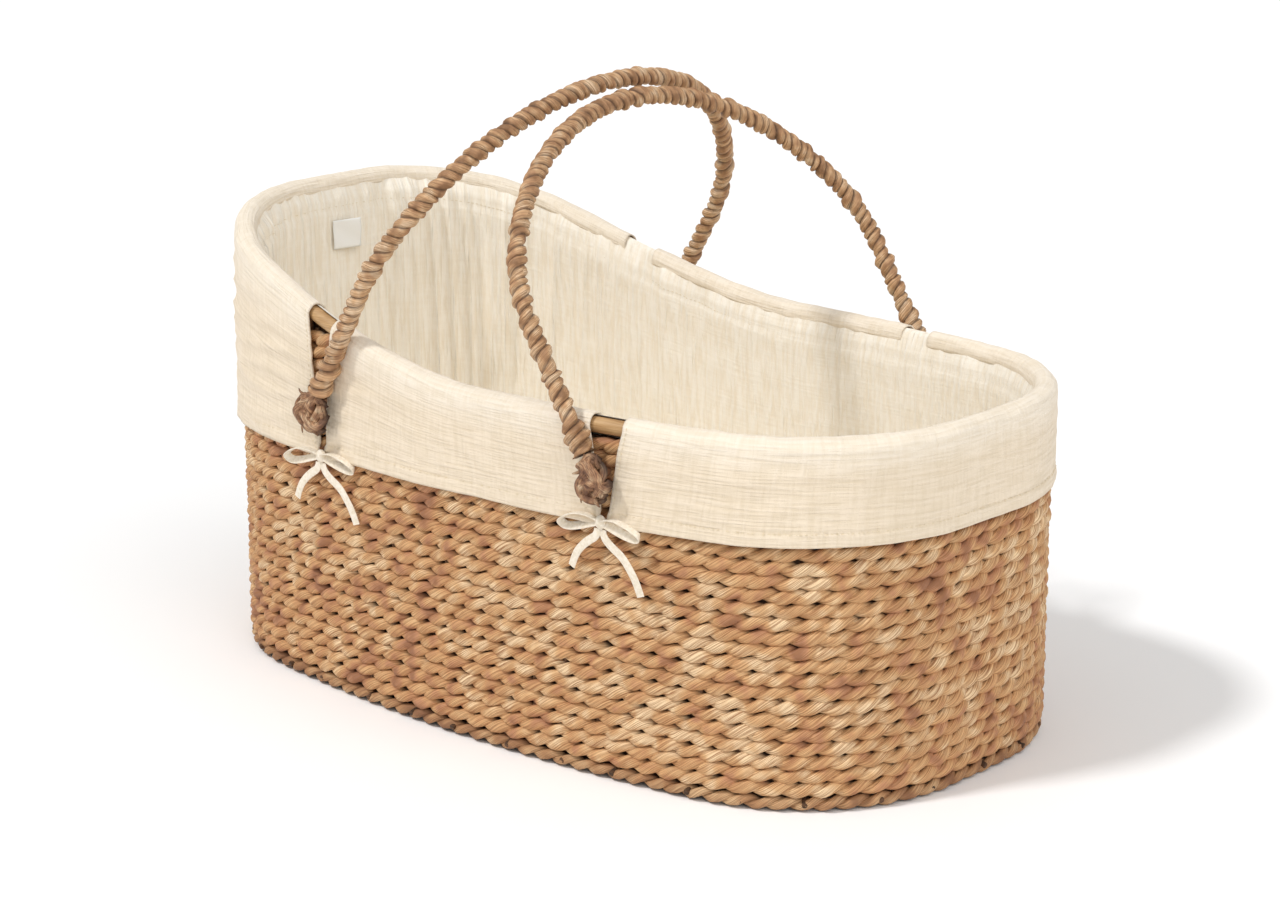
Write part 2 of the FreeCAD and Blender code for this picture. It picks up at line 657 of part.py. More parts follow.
def liner_rolls():
    """The liner cloth over the rim hoop, between the openings for the handles."""
    middle = PIVOT_X - size("slot_width") / 2
    ends = PIVOT_X + size("slot_width") / 2
    stretches = {
        "near": lambda p: p.y < 0 and abs(p.x) < middle,
        "far": lambda p: p.y > 0 and abs(p.x) < middle,
        "head": lambda p: p.x < -ends,
        "foot": lambda p: p.x > ends,
    }
    for name, wanted in stretches.items():
        keep_shape(gathered_roll(wanted), f"rim_roll_{name}")


def liner_skirt():
    """The skirt that hangs outside the wall, in four panels between the openings."""
    out = -size("skirt_gap")
    skirt = ring(out - size("skirt_thick"), out, 1, RIM_FOOT + size("rim_rise"))
    hem = under_rim(HEM_HEAD, HEM_FOOT, ROLL_RADIUS + SEAT_GAP)
    skirt = skirt.common(hem)
    for name in PANELS:
        keep_shape(skirt.common(panel_block(name)), f"skirt_{name}")


def liner_label():
    """Blank label sewn to the liner wall inside the head end."""
    label = doc.addObject("Part::Box", "liner_label")
    label.setExpression("Length", "sizes.label_thick")
    label.setExpression("Width", "sizes.label_width")
    label.setExpression("Height", "sizes.label_height")
    x = -half_length_at(size("label_width") / 2, LINER_IN) + SEAT_GAP
    z = size("label_level") - size("label_height") / 2
    label.Placement = Placement(Vector(x, -size("label_width") / 2, z), Rotation())
    keep(label, "liner_label")


# ---------------------------------------------------------------- ties

# Routes of the two tails of a tie, from its knot: along the wall (towards the foot), out, and up.
LONG_TAIL = [(3, 0, -6), (3, 0, -12), (14, 1.5, -19), (26, 0.5, -26), (36, 2, -35), (43, 1, -46),
             (47, 0, -58)]
SHORT_TAIL = [(-3, 0, -6), (-3, 0, -12), (-12, 1.5, -18), (-21, 1, -25), (-28, 2, -34), (-33, 1, -46)]


def tie(end_name, end, side_name, side):
    """The bow that closes one opening of the skirt at its hem: knot, two loops and two tails."""
    name = f"tie_{end_name}_{side_name}"
    x = end * PIVOT_X
    share = (x + HALF_LENGTH) / (2 * HALF_LENGTH)
    hem = HEM_HEAD + (HEM_FOOT - HEM_HEAD) * share
    knot_size = size("tie_knot")
    skirt_face = half_width_at(x) + size("skirt_gap") + size("skirt_thick")
    face = skirt_face + 2 * SEAT_GAP
    knot = doc.addObject("Part::Box", f"{name}_knot")
    knot.setExpression("Length", "sizes.tie_knot")
    knot.setExpression("Width", "sizes.tie_knot_depth")
    knot.setExpression("Height", "sizes.tie_knot")
    depth = size("tie_knot_depth")
    low_y = face if side > 0 else -face - depth
    knot.Placement = Placement(Vector(x - knot_size / 2, low_y, hem - knot_size / 2), Rotation())
    keep(knot, f"{name}_knot")

    def place(along, out, up):
        return Vector(x + along, side * (face + depth / 2 + out), hem + up)

    width = size("tie_tape_width")
    thick = size("tie_loop_depth")
    low_corner = Vector(x - knot_size / 2 - CLOSE_GAP, low_y - depth / 2, hem - knot_size)
    room = Part.makeBox(knot_size + 2 * CLOSE_GAP, 2 * depth, 2 * knot_size, low_corner)
    loops = []
    for way in (-1, 1):
        length = size("tie_loop_length")
        tilt = way * math.degrees(math.atan(size("tie_loop_droop") / length))
        slab = Part.makeBox(length, thick, width, Vector(0, -thick / 2, -width / 2))
        flat_edges = [e for e in slab.Edges if abs(e.tangentAt(0).y) < 0.5]
        slab = slab.makeFillet(size("tie_loop_round"), flat_edges)
        if way < 0:
            slab.rotate(Vector(0, 0, 0), Vector(0, 0, 1), 180)
        slab.rotate(Vector(0, 0, 0), Vector(0, 1, 0), tilt)
        slab.translate(place(way * knot_size / 2, 0, 0))
        loops.append(slab.cut(room))
    keep_shape(Part.makeCompound(loops), f"{name}_loops")
    tails = []
    for label, route in (("long", LONG_TAIL), ("short", SHORT_TAIL)):
        points = [place(*p) for p in route]
        wire, radii = smooth_route(points)
        radius = size("tie_tail_radius")
        tails.append(tube_along(wire, points[0], (points[1] - points[0]).normalize(), radius))
        if end_name == "foot" and side_name == "near":
            shown = ", ".join(f"{r:.0f}" for r in radii)
            print(f"{label} tail: {wire.Length:.0f} mm, radii {shown} mm")
    keep_shape(Part.makeCompound(tails), f"{name}_tails")


# ---------------------------------------------------------------- mattress

MATTRESS_FLOOR = ("2 * sizes.border_radius + sizes.runner_thick + sizes.liner_floor_thick"
                  " + 3 * sizes.seat_gap")
MATTRESS_INSET = ("sizes.weaver_depth + 2 * sizes.stake_radius + sizes.inner_weave_thick"
                  " + sizes.liner_thick + 3 * sizes.seat_gap + sizes.mattress_clearance")


def rounded_plate(label, inset, inset_expression, thick_expression, height_expression, rounding):
    """Plate with the plan outline and rounded top and bottom edges."""
    body = plate(label, inset, inset_expression, thick_expression, height_expression)
    doc.recompute()
    pad = body.Tip
    rims = [f"Edge{i}" for i, e in enumerate(pad.Shape.Edges, start=1)
            if abs(e.BoundBox.ZMax - e.BoundBox.ZMin) < 0.01]
    fillet = body.newObject("PartDesign::Fillet", f"{label}_rounding")
    fillet.Base = (pad, rims)
    fillet.setExpression("Radius", rounding)
    return body


def mattress():
    """The mattress: a foam core inside a closed cover."""
    inset = LINER_IN + size("mattress_clearance")
    cover = size("mattress_cover")
    edge = "sizes.mattress_edge - sizes.mattress_cover"
    outer = rounded_plate("mattress_outside", inset, MATTRESS_INSET, "sizes.mattress_thick",
                          MATTRESS_FLOOR, "sizes.mattress_edge")
    inner = rounded_plate("mattress_inside", inset + cover,
                          f"{MATTRESS_INSET} + sizes.mattress_cover",
                          "sizes.mattress_thick - 2 * sizes.mattress_cover",
                          f"{MATTRESS_FLOOR} + sizes.mattress_cover", edge)
    core = rounded_plate("mattress_core", inset + cover + CLOSE_GAP,
                         f"{MATTRESS_INSET} + sizes.mattress_cover + sizes.seat_gap / 3",
                         "sizes.mattress_thick - 2 * sizes.mattress_cover - 2 * sizes.seat_gap / 3",
                         f"{MATTRESS_FLOOR} + sizes.mattress_cover + sizes.seat_gap / 3", edge)
    shell = doc.addObject("Part::Cut", "mattress_cover")
    shell.Base = outer
    shell.Tool = inner
    keep(shell, "mattress_cover")
    keep(core, "mattress_core")


# ---------------------------------------------------------------- build and export

base_border()
base_mat()
base_canes()
base_runners()
upright_stakes()
inner_weave()
weave_bands()
rim_hoops()
for handle_name, handle_end in HANDLES:
    handle(handle_name, handle_end)
liner_wall()
liner_floor()
liner_rolls()
liner_skirt()
liner_label()
for handle_name, handle_end in HANDLES:
    for tie_name, tie_side in SIDES:
        tie(handle_name, handle_end, tie_name, tie_side)
mattress()
doc.recompute()

for obj in doc.Objects:
    if "Invalid" in obj.State or "Error" in obj.State:
        raise RuntimeError(f"{obj.Label} failed: {obj.State}")

os.makedirs("parts", exist_ok=True)
for obj in NODES:
    shape = obj.Shape
    if shape.isNull() or not shape.isValid() or shape.Volume <= 0:
        raise RuntimeError(f"{obj.Label} has no valid solid")
    shape.exportStep(f"parts/{obj.Label}.step")
print(f"{len(NODES)} nodes written")
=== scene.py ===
# %% [markdown]
# # A woven baby basket with a tied cotton liner
# The basket is an oval wall of dried leaf strands, twisted in pairs round upright stakes. A
# cotton liner is folded over the rim, tied at four openings, and two wrapped carry handles come
# out through them. The CAD frame gives the pieces' sizes and places, and this script dresses them.

# %% Load the frame
import json
import math

import bmesh
import bpy
import numpy as np
from mathutils import Matrix, Vector, noise


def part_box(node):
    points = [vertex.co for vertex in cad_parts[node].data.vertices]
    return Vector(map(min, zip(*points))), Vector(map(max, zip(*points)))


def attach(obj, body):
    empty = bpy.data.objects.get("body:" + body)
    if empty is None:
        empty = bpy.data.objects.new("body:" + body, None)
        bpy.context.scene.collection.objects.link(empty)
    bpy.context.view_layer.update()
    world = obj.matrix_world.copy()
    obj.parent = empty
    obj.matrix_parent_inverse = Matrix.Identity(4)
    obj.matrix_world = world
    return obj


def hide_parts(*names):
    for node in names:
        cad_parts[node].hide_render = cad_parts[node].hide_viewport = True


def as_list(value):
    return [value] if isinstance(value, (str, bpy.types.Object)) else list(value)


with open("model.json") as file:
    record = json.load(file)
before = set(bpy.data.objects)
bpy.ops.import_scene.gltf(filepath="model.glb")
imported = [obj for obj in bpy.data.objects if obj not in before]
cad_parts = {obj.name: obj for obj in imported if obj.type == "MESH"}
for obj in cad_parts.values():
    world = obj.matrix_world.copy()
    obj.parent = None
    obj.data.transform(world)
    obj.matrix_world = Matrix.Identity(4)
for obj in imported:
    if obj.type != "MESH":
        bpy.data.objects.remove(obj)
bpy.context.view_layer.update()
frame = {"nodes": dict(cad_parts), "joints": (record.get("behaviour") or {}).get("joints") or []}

# %% [markdown]
# ## The plan outline
# Seen from above, the basket is eight arcs that touch smoothly: long sides, ends and corners.
# Every woven row, the rim and the liner follow it, each moved in or out by its own distance, so
# one function gives the point and the outward direction at any share of the way round.

# %% Plan outline
band_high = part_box("weave_band_01")[1]
HALF_LENGTH = band_high[0]
HALF_WIDTH = band_high[1]
SIDE_RADIUS = 1.6
END_RADIUS = 1.5
CORNER_RADIUS = 0.18


def corner_centre():
    """Centre of the corner arc that touches the side arc and the end arc from inside."""
    side = np.array([0.0, HALF_WIDTH - SIDE_RADIUS])
    end = np.array([HALF_LENGTH - END_RADIUS, 0.0])
    from_side = SIDE_RADIUS - CORNER_RADIUS
    from_end = END_RADIUS - CORNER_RADIUS
    apart = np.linalg.norm(end - side)
    along = (from_side ** 2 - from_end ** 2 + apart ** 2) / (2 * apart)
    unit = (end - side) / apart
    across = math.sqrt(from_side ** 2 - along ** 2)
    return side + unit * along + np.array([unit[1], -unit[0]]) * across


CORNER = corner_centre()
END_TURN = math.atan2(CORNER[1], CORNER[0] - (HALF_LENGTH - END_RADIUS))
SIDE_TURN = math.atan2(CORNER[1] - (HALF_WIDTH - SIDE_RADIUS), CORNER[0])

# Each arc: centre, radius, first angle, last angle. The walk starts at the middle of the near
# side and goes round by the foot end, the far side and the head end.
PI = math.pi
ARCS = [
    ((0, SIDE_RADIUS - HALF_WIDTH), SIDE_RADIUS, -PI / 2, -SIDE_TURN),
    ((CORNER[0], -CORNER[1]), CORNER_RADIUS, -SIDE_TURN, -END_TURN),
    ((HALF_LENGTH - END_RADIUS, 0), END_RADIUS, -END_TURN, END_TURN),
    ((CORNER[0], CORNER[1]), CORNER_RADIUS, END_TURN, SIDE_TURN),
    ((0, HALF_WIDTH - SIDE_RADIUS), SIDE_RADIUS, SIDE_TURN, PI - SIDE_TURN),
    ((-CORNER[0], CORNER[1]), CORNER_RADIUS, PI - SIDE_TURN, PI - END_TURN),
    ((END_RADIUS - HALF_LENGTH, 0), END_RADIUS, PI - END_TURN, PI + END_TURN),
    ((-CORNER[0], -CORNER[1]), CORNER_RADIUS, PI + END_TURN, PI + SIDE_TURN),
    ((0, SIDE_RADIUS - HALF_WIDTH), SIDE_RADIUS, PI + SIDE_TURN, 1.5 * PI),
]
ARC_ENDS = np.cumsum([radius * (last - first) for _, radius, first, last in ARCS])
PERIMETER = float(ARC_ENDS[-1])


def plan(share, inset=0.0):
    """Point (x, y) on the outline moved in by inset, and its outward direction."""
    along = (share % 1.0) * PERIMETER
    which = int(np.searchsorted(ARC_ENDS, along, side="right"))
    which = min(which, len(ARCS) - 1)
    (cx, cy), radius, first, _ = ARCS[which]
    before = ARC_ENDS[which - 1] if which else 0.0
    angle = first + (along - before) / radius
    out = (math.cos(angle), math.sin(angle))
    reach = radius - inset
    return cx + out[0] * reach, cy + out[1] * reach, out[0], out[1]


SHARES = np.linspace(0, 1, 2001)
PLAN_X = np.array([plan(share)[0] for share in SHARES])


def share_at(x, side):
    """Share of the outline where it passes x, on the near side (-1) or the far side (+1)."""
    y = np.array([plan(share)[1] for share in SHARES[::4]])
    gap = np.abs(PLAN_X[::4] - x) + np.where(y * side > 0, 0, 10)
    return float(SHARES[::4][int(np.argmin(gap))])


print(f"outline: {PERIMETER:.3f} m round")

# %% [markdown]
# ## The rim line
# The rim is level round the foot and climbs smoothly to the head end. It is the line that the
# hoop, the top of the weave and the liner share.

# %% Rim line
hoop_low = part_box("rim_hoop_near")[0]
HOOP_RADIUS = 0.007
RIM_FOOT = hoop_low[2] + HOOP_RADIUS
RIM_RISE = 0.127
RAMP_START = 0.030
RAMP_END = -0.550
RIM_INSET = 0.0073


def rim_height(x):
    """Height of the middle of the rim hoop at x."""
    share = min(max((RAMP_START - x) / (RAMP_START - RAMP_END), 0), 1)
    return RIM_FOOT + RIM_RISE * share ** 2 * (3 - 2 * share)


print(f"rim: {RIM_FOOT:.3f} m at the foot, {rim_height(-HALF_LENGTH):.3f} m at the head")

# %% [markdown]
# ## Helpers for meshes
# A piece is either a bmesh turned into an object or a swept curve turned into a mesh. Swept
# curves suit strands, tapes and threads: Blender bevels them with one cross-section, and gives
# them a UV map whose first axis runs along the strand, which the leaf fibres follow.

# %% Mesh helpers
def linked(name, data):
    """New object in the scene, standing at the origin."""
    obj = bpy.data.objects.new(name, data)
    bpy.context.scene.collection.objects.link(obj)
    return obj


def finish_piece(obj, body, material, *nodes):
    """Give a piece its material, its body and the CAD nodes it stands for."""
    if material is not None:
        obj.data.materials.clear()
        obj.data.materials.append(material)
    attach(obj, body)
    if nodes:
        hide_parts(*nodes)
    return obj


def smooth(obj):
    """Shade every face of a mesh smoothly."""
    for face in obj.data.polygons:
        face.use_smooth = True
    return obj


def section(name, points):
    """Closed flat curve used as the cross-section of a sweep."""
    curve = bpy.data.curves.new(name, "CURVE")
    curve.dimensions = "2D"
    spline = curve.splines.new("POLY")
    spline.points.add(len(points) - 1)
    for point, (x, y) in zip(spline.points, points):
        point.co = (x, y, 0, 1)
    spline.use_cyclic_u = True
    return linked(name, curve)


def sweep(name, paths, profile=None, depth=0.001, sides=2, caps=True):
    """Mesh swept along paths. A path is (points, radii, tilts, closed)."""
    curve = bpy.data.curves.new(name, "CURVE")
    curve.dimensions = "3D"
    curve.twist_mode = "MINIMUM"
    curve.use_fill_caps = caps
    if profile is None:
        curve.bevel_depth = depth
        curve.bevel_resolution = sides
    else:
        curve.bevel_mode = "OBJECT"
        curve.bevel_object = profile
    for points, radii, tilts, closed in paths:
        spline = curve.splines.new("POLY")
        spline.points.add(len(points) - 1)
        flat = np.ones((len(points), 4))
        flat[:, :3] = points
        spline.points.foreach_set("co", flat.ravel())
        if radii is not None:
            spline.points.foreach_set("radius", np.asarray(radii, dtype=float))
        if tilts is not None:
            spline.points.foreach_set("tilt", np.asarray(tilts, dtype=float))
        spline.use_cyclic_u = closed
    maker = linked(name + "_sweep", curve)
    bpy.context.view_layer.update()
    ready = maker.evaluated_get(bpy.context.evaluated_depsgraph_get())
    mesh = bpy.data.meshes.new_from_object(ready)
    mesh.name = name
    bpy.data.objects.remove(maker)
    obj = linked(name, mesh)
    repair(obj)
    return smooth(obj)


def repair(obj):
    """Merge doubles and point every face outwards."""
    form = bmesh.new()
    form.from_mesh(obj.data)
    bmesh.ops.remove_doubles(form, verts=form.verts, dist=1e-6)
    bmesh.ops.recalc_face_normals(form, faces=form.faces)
    form.to_mesh(obj.data)
    form.free()
    return obj


# %% [markdown]
# ## Helpers for materials
# A colour is written as the sRGB hex value that a paint card would show, and one function turns
# it to the linear values that Blender mixes. One more function adds a node, sets it and links it.

# %% Material helpers
def colour(code):
    """Linear RGBA from an sRGB hex value."""
    parts = [int(code[i:i + 2], 16) / 255 for i in (1, 3, 5)]
    linear = [p / 12.92 if p <= 0.04045 else ((p + 0.055) / 1.055) ** 2.4 for p in parts]
    return (*linear, 1.0)


def add(tree, kind, inputs=None, **settings):
    """Add a node; each input is a value, or a socket to link from."""
    node = tree.nodes.new(kind)
    for key, value in settings.items():
        setattr(node, key, value)
    for key, value in (inputs or {}).items():
        if isinstance(value, bpy.types.NodeSocket):
            tree.links.new(value, node.inputs[key])
        else:
            node.inputs[key].default_value = value
    return node


def ramp(tree, factor, stops):
    """Colour ramp over a factor; stops are (place, hex colour)."""
    node = add(tree, "ShaderNodeValToRGB", {"Fac": factor})
    marks = node.color_ramp.elements
    while len(marks) < len(stops):
        marks.new(0.5)
    for mark, (place, code) in zip(marks, stops):
        mark.position = place
        mark.color = colour(code)
    return node.outputs["Color"]


def new_material(name, roughness, **extra):
    """Material with its shader, and the tree to build on."""
    made = bpy.data.materials.new(name)
    made.use_nodes = True
    tree = made.node_tree
    shader = tree.nodes["Principled BSDF"]
    shader.inputs["Roughness"].default_value = roughness
    for key, value in extra.items():
        shader.inputs[key].default_value = value
    return made, tree, shader


# %% [markdown]
# ## Dried leaf strands
# The weave is dried leaf, folded lengthwise and twisted by hand: matte, with pale high fibres,
# brown creases, and each length of leaf a little lighter, pinker or greyer than the next. The
# fibre streaks run along the strand, so they read its UV map, where U is the way along.

# %% Leaf material
# Colour of the painted shade deep in the gaps between strands.
GAP_SHADE_COLOUR = "#3a2416"


def leaf(name, tones, dark, along_scale, across_scale, roughness=0.72, change=38.0):
    """Twisted dried leaf: tones from dark to light, and the colour of its creases."""
    made, tree, shader = new_material(name, roughness)
    place = add(tree, "ShaderNodeTexCoord").outputs
    # Lengths of leaf differ every few centimetres.
    lengths = add(tree, "ShaderNodeTexNoise",
                  {"Vector": place["Object"], "Scale": change, "Detail": 1.5, "Roughness": 0.6})
    patches = add(tree, "ShaderNodeTexNoise",
                  {"Vector": place["Object"], "Scale": 5.0, "Detail": 2.0})
    mixed = add(tree, "ShaderNodeMath", {0: patches.outputs["Fac"], 1: 0.4, 2: lengths.outputs["Fac"]},
                operation="MULTIPLY_ADD")
    share = add(tree, "ShaderNodeMapRange",
                {"Value": mixed.outputs[0], "From Min": 0.50, "From Max": 0.87})
    tone = ramp(tree, share.outputs["Result"], tones)
    # Fibres: long along U, fine along V.
    stretch = add(tree, "ShaderNodeMapping",
                  {"Vector": place["UV"], "Scale": (along_scale, across_scale, 1)})
    fibre = add(tree, "ShaderNodeTexNoise",
                {"Vector": stretch.outputs["Vector"], "Scale": 1.0, "Detail": 4.0, "Roughness": 0.65,
                 "Distortion": 0.3})
    streak = add(tree, "ShaderNodeMapRange",
                 {"Value": fibre.outputs["Fac"], "From Min": 0.36, "From Max": 0.60})
    crease = add(tree, "ShaderNodeMix",
                 {"Factor": streak.outputs["Result"], "A": colour(dark), "B": tone}, data_type="RGBA")
    # Painted shade in the gaps, which each piece marks on its points: the deeper a point, the closer to
    # the gap colour.
    depth = add(tree, "ShaderNodeAttribute", attribute_name="hollow")
    shade = add(tree, "ShaderNodeMix",
                {"Factor": depth.outputs["Fac"], "A": crease.outputs["Result"], "B": colour(GAP_SHADE_COLOUR)},
                data_type="RGBA")
    tree.links.new(shade.outputs["Result"], shader.inputs["Base Color"])
    bump = add(tree, "ShaderNodeBump",
               {"Height": fibre.outputs["Fac"], "Strength": 0.55, "Distance": 0.0009})
    tree.links.new(bump.outputs["Normal"], shader.inputs["Normal"])
    return made


# The last two numbers are the scales of the fibre pattern, along the strand and across it.
WALL_TONES = [(0.0, "#9c6c50"), (0.22, "#c48e69"), (0.45, "#d7a673"), (0.7, "#e1b784"),
              (1.0, "#f6d9ae")]
wall_leaf = leaf("dried leaf, twisted weave", WALL_TONES, "#98663d", 60, 34)
BORDER_TONES = [(0.0, "#8d6243"), (0.5, "#bf9164"), (1.0, "#dcb88a")]
border_leaf = leaf("dried leaf, rolled border", BORDER_TONES, "#8a6040", 60, 30)

# %% [markdown]
# ## The woven wall
# Each row is two strands of leaf twisted round each other and round the stakes, so the outside
# shows a line of slanting, leaf-shaped lobes. It could be a displaced wall, but the gaps between
# lobes are deep and dark, so real strands are swept: two helices for each row, each with a folded
# cross-section that rolls as it goes. Three rows make one piece, as they make one CAD band.

# %% Woven rows
ROW_PITCH = 0.01247
ROWS_PER_BAND = 3
FULL_ROWS = 24
BORDER_RADIUS = 0.007
WALL_BASE = 2 * BORDER_RADIUS
LOBE_PITCH = 0.0245
STRAND_RADIUS = 0.0054
TWIST_RADIUS = 0.0027
ROPE_INSET = STRAND_RADIUS + TWIST_RADIUS - 0.0009
STEPS_PER_TURN = 13


def folded_section(name, radius, flat, folds, depth, count=12):
    """Cross-section of a folded strand: an oval with a few lengthwise creases."""
    points = []
    for i in range(count):
        angle = 2 * PI * i / count
        reach = radius * (1 + depth * math.cos(folds * angle + 0.7))
        points.append((reach * math.cos(angle), flat * reach * math.sin(angle)))
    return section(name, points)


strand_section = folded_section("strand_section", STRAND_RADIUS, 0.88, 5, 0.05)

# %% One strand
# Shares of the strand's own size, and two lengths in metres, that make no two lobes alike.
LEAF_MEAN = 0.92
LEAF_SWELL = 0.22
LEAF_WOBBLE = 0.12
OUT_WOBBLE = 0.15
UP_WOBBLE = 0.0006
TWIST_TALL = 1.06
PHASE_DRIFT = 0.6
DRIFT_SCALE = 0.35
ROLLS_PER_TURN = 0.6


def strand(row, turn, first, last, inset, height, twist, strand_pitch, closed, steps):
    """One helical strand of a row, from one share of the outline to another."""
    turns = max(round((last - first) * PERIMETER / strand_pitch), 1)
    count = turns * steps
    rolls = round(ROLLS_PER_TURN * turns)
    points = np.zeros((count if closed else count + 1, 3))
    radii = np.ones(len(points))
    tilts = np.zeros(len(points))
    reach = turns / PI
    lay = 2 * PI * math.sin(12.9898 * row) * 43.7
    for i in range(len(points)):
        t = i / count
        # The noise is read on a circle, so a closed row meets itself without a step.
        round_way = Vector((reach * math.cos(2 * PI * t), reach * math.sin(2 * PI * t),
                            7.3 * row + 3.1 * turn))
        lobe = noise.noise(round_way)
        phase = 2 * PI * turns * t + PI * turn + lay + PHASE_DRIFT * noise.noise(round_way * DRIFT_SCALE)
        x, y, nx, ny = plan(first + (last - first) * t, inset)
        out = twist * math.cos(phase) * (1 + OUT_WOBBLE * lobe)
        up = TWIST_TALL * twist * math.sin(phase) + UP_WOBBLE * lobe
        points[i] = (x + nx * out, y + ny * out, height + up)
        # A leaf is fattest where it crosses the front and thins as it dives behind.
        radii[i] = LEAF_MEAN + LEAF_SWELL * math.cos(phase) + LEAF_WOBBLE * lobe
        tilts[i] = -2 * PI * rolls * t
    return points, radii, tilts, closed


# %% Painted shade in the gaps
GAP_START = 0.0038
GAP_POWER = 1.4
CHUNK = 4000


def mark_gap_shade(obj, front, depth):
    """Store how far each point lies behind the wall's face, for the painted shade in the gaps."""
    mesh = obj.data
    places = np.empty(len(mesh.vertices) * 3)
    mesh.vertices.foreach_get("co", places)
    places = places.reshape(-1, 3)
    ring_points = np.array([plan(share, front) for share in SHARES[:-1]])
    hollow = np.zeros(len(places))
    for start in range(0, len(places), CHUNK):
        chunk = places[start:start + CHUNK]
        gap = chunk[:, None, :2] - ring_points[None, :, :2]
        near = np.argmin((gap ** 2).sum(axis=2), axis=1)
        picked = ring_points[near]
        inward = -((chunk[:, :2] - picked[:, :2]) * picked[:, 2:]).sum(axis=1)
        hollow[start:start + CHUNK] = np.clip((inward - GAP_START) / depth, 0, 1) ** GAP_POWER
    layer = mesh.attributes.new("hollow", "FLOAT", "POINT")
    layer.data.foreach_set("value", hollow.astype(np.float32))


# %% Rows of the wall
WALL_GAP_DEPTH = 0.0048
ROW_STAGGER = 0.083


def ramp_x(height):
    """X where the rim line is at a height, on the climb to the head."""
    low, high = -HALF_LENGTH, RAMP_START
    for _ in range(30):
        middle = (low + high) / 2
        if rim_height(middle) > height:
            low = middle
        else:
            high = middle
    return low


bands = sorted(name for name in frame["nodes"] if name.startswith("weave_band"))
for band_index, band in enumerate(bands):
    paths = []
    for step in range(ROWS_PER_BAND):
        row = band_index * ROWS_PER_BAND + step
        height = WALL_BASE + (row + 0.5) * ROW_PITCH
        under = height + HOOP_RADIUS + ROW_PITCH / 2
        if row < FULL_ROWS:
            start = 0.5 + ROW_STAGGER * row
            span = (start, start + 1.0, True)
        elif under < rim_height(-HALF_LENGTH):
            edge = ramp_x(under)
            span = (share_at(edge, 1), share_at(edge, -1), False)
            if span[1] < span[0]:
                span = (span[0], span[1] + 1, False)
        else:
            continue
        for turn in (0, 1):
            paths.append(strand(row, turn, span[0], span[1], ROPE_INSET, height, TWIST_RADIUS,
                                2 * LOBE_PITCH, span[2], STEPS_PER_TURN))
    rows = sweep(f"woven_rows_{band_index + 1:02d}", paths, profile=strand_section)
    mark_gap_shade(rows, 0.0, WALL_GAP_DEPTH)
    finish_piece(rows, "basket", wall_leaf, band)
print(f"weave: {len(bands)} pieces")

# %% [markdown]
# ## The border at the foot of the wall
# The border that the basket stands on is one thinner rope, with shorter lobes than the wall's. The
# cut ends of the stakes show as dark pegs between the border and the first row.

# %% Border
BORDER_STRAND = 0.0040
BORDER_TWIST = 0.0027
BORDER_PITCH = 0.041
BORDER_HEIGHT = 0.0071
BORDER_GAP_DEPTH = 0.0080
border_section = folded_section("border_section", BORDER_STRAND, 0.9, 4, 0.08, count=10)
border_paths = [strand(90, turn, 0.0, 1.0, BORDER_RADIUS, BORDER_HEIGHT, BORDER_TWIST, BORDER_PITCH,
                       True, 12) for turn in (0, 1)]
border = sweep("rolled_border", border_paths, profile=border_section)
mark_gap_shade(border, 0.0, BORDER_GAP_DEPTH)
finish_piece(border, "basket", border_leaf, "base_border")

# %% Cut ends of the stakes
PEG_SPACING = 0.062
PEG_RADIUS = 0.0031
PEG_LENGTH = 0.0085
PEG_HEIGHT = 0.0078
PEG_INSET = 0.0042
PEG_TAPER = 0.86
PEG_SLOPE = -0.30
PEG_ROUNDING = 0.0006
pegs = bmesh.new()
peg_count = round(PERIMETER / PEG_SPACING)
for i in range(peg_count):
    share = (i + 0.32 * noise.noise(Vector((i * 1.7, 4.0, 0.5)))) / peg_count
    x, y, nx, ny = plan(share, PEG_INSET)
    length = PEG_LENGTH + 0.0020 * noise.noise(Vector((i * 2.3, 9.0, 0.5)))
    way = Vector((nx, ny, PEG_SLOPE)).normalized()
    turn = way.to_track_quat("Z", "X").to_matrix().to_4x4()
    made_peg = bmesh.ops.create_cone(pegs, cap_ends=True, segments=9, radius1=PEG_RADIUS,
                                     radius2=PEG_RADIUS * PEG_TAPER, depth=length,
                                     matrix=Matrix.Translation((x, y, PEG_HEIGHT)) @ turn)
    tip = max(vert.co.dot(way) for vert in made_peg["verts"])
    at_tip = {vert for vert in made_peg["verts"] if vert.co.dot(way) > tip - 1e-5}
    rim = [edge for edge in pegs.edges if all(vert in at_tip for vert in edge.verts)]
    bmesh.ops.bevel(pegs, geom=rim, offset=PEG_ROUNDING, segments=2, profile=0.5, affect="EDGES",
                    material=-1)
peg_mesh = bpy.data.meshes.new("stake_ends")
pegs.to_mesh(peg_mesh)
pegs.free()
stake_ends = linked("stake_ends", peg_mesh)
print(f"stake ends: {peg_count}")

# %% [markdown]
# ## Cane, mat and the dark inside of the weave
# The hoop, stakes and canes are peeled cane: smooth, with a fine lengthwise grain, pale tan on the
# hoop and darker on the rest. The CAD shapes are right, so they only get this finish.

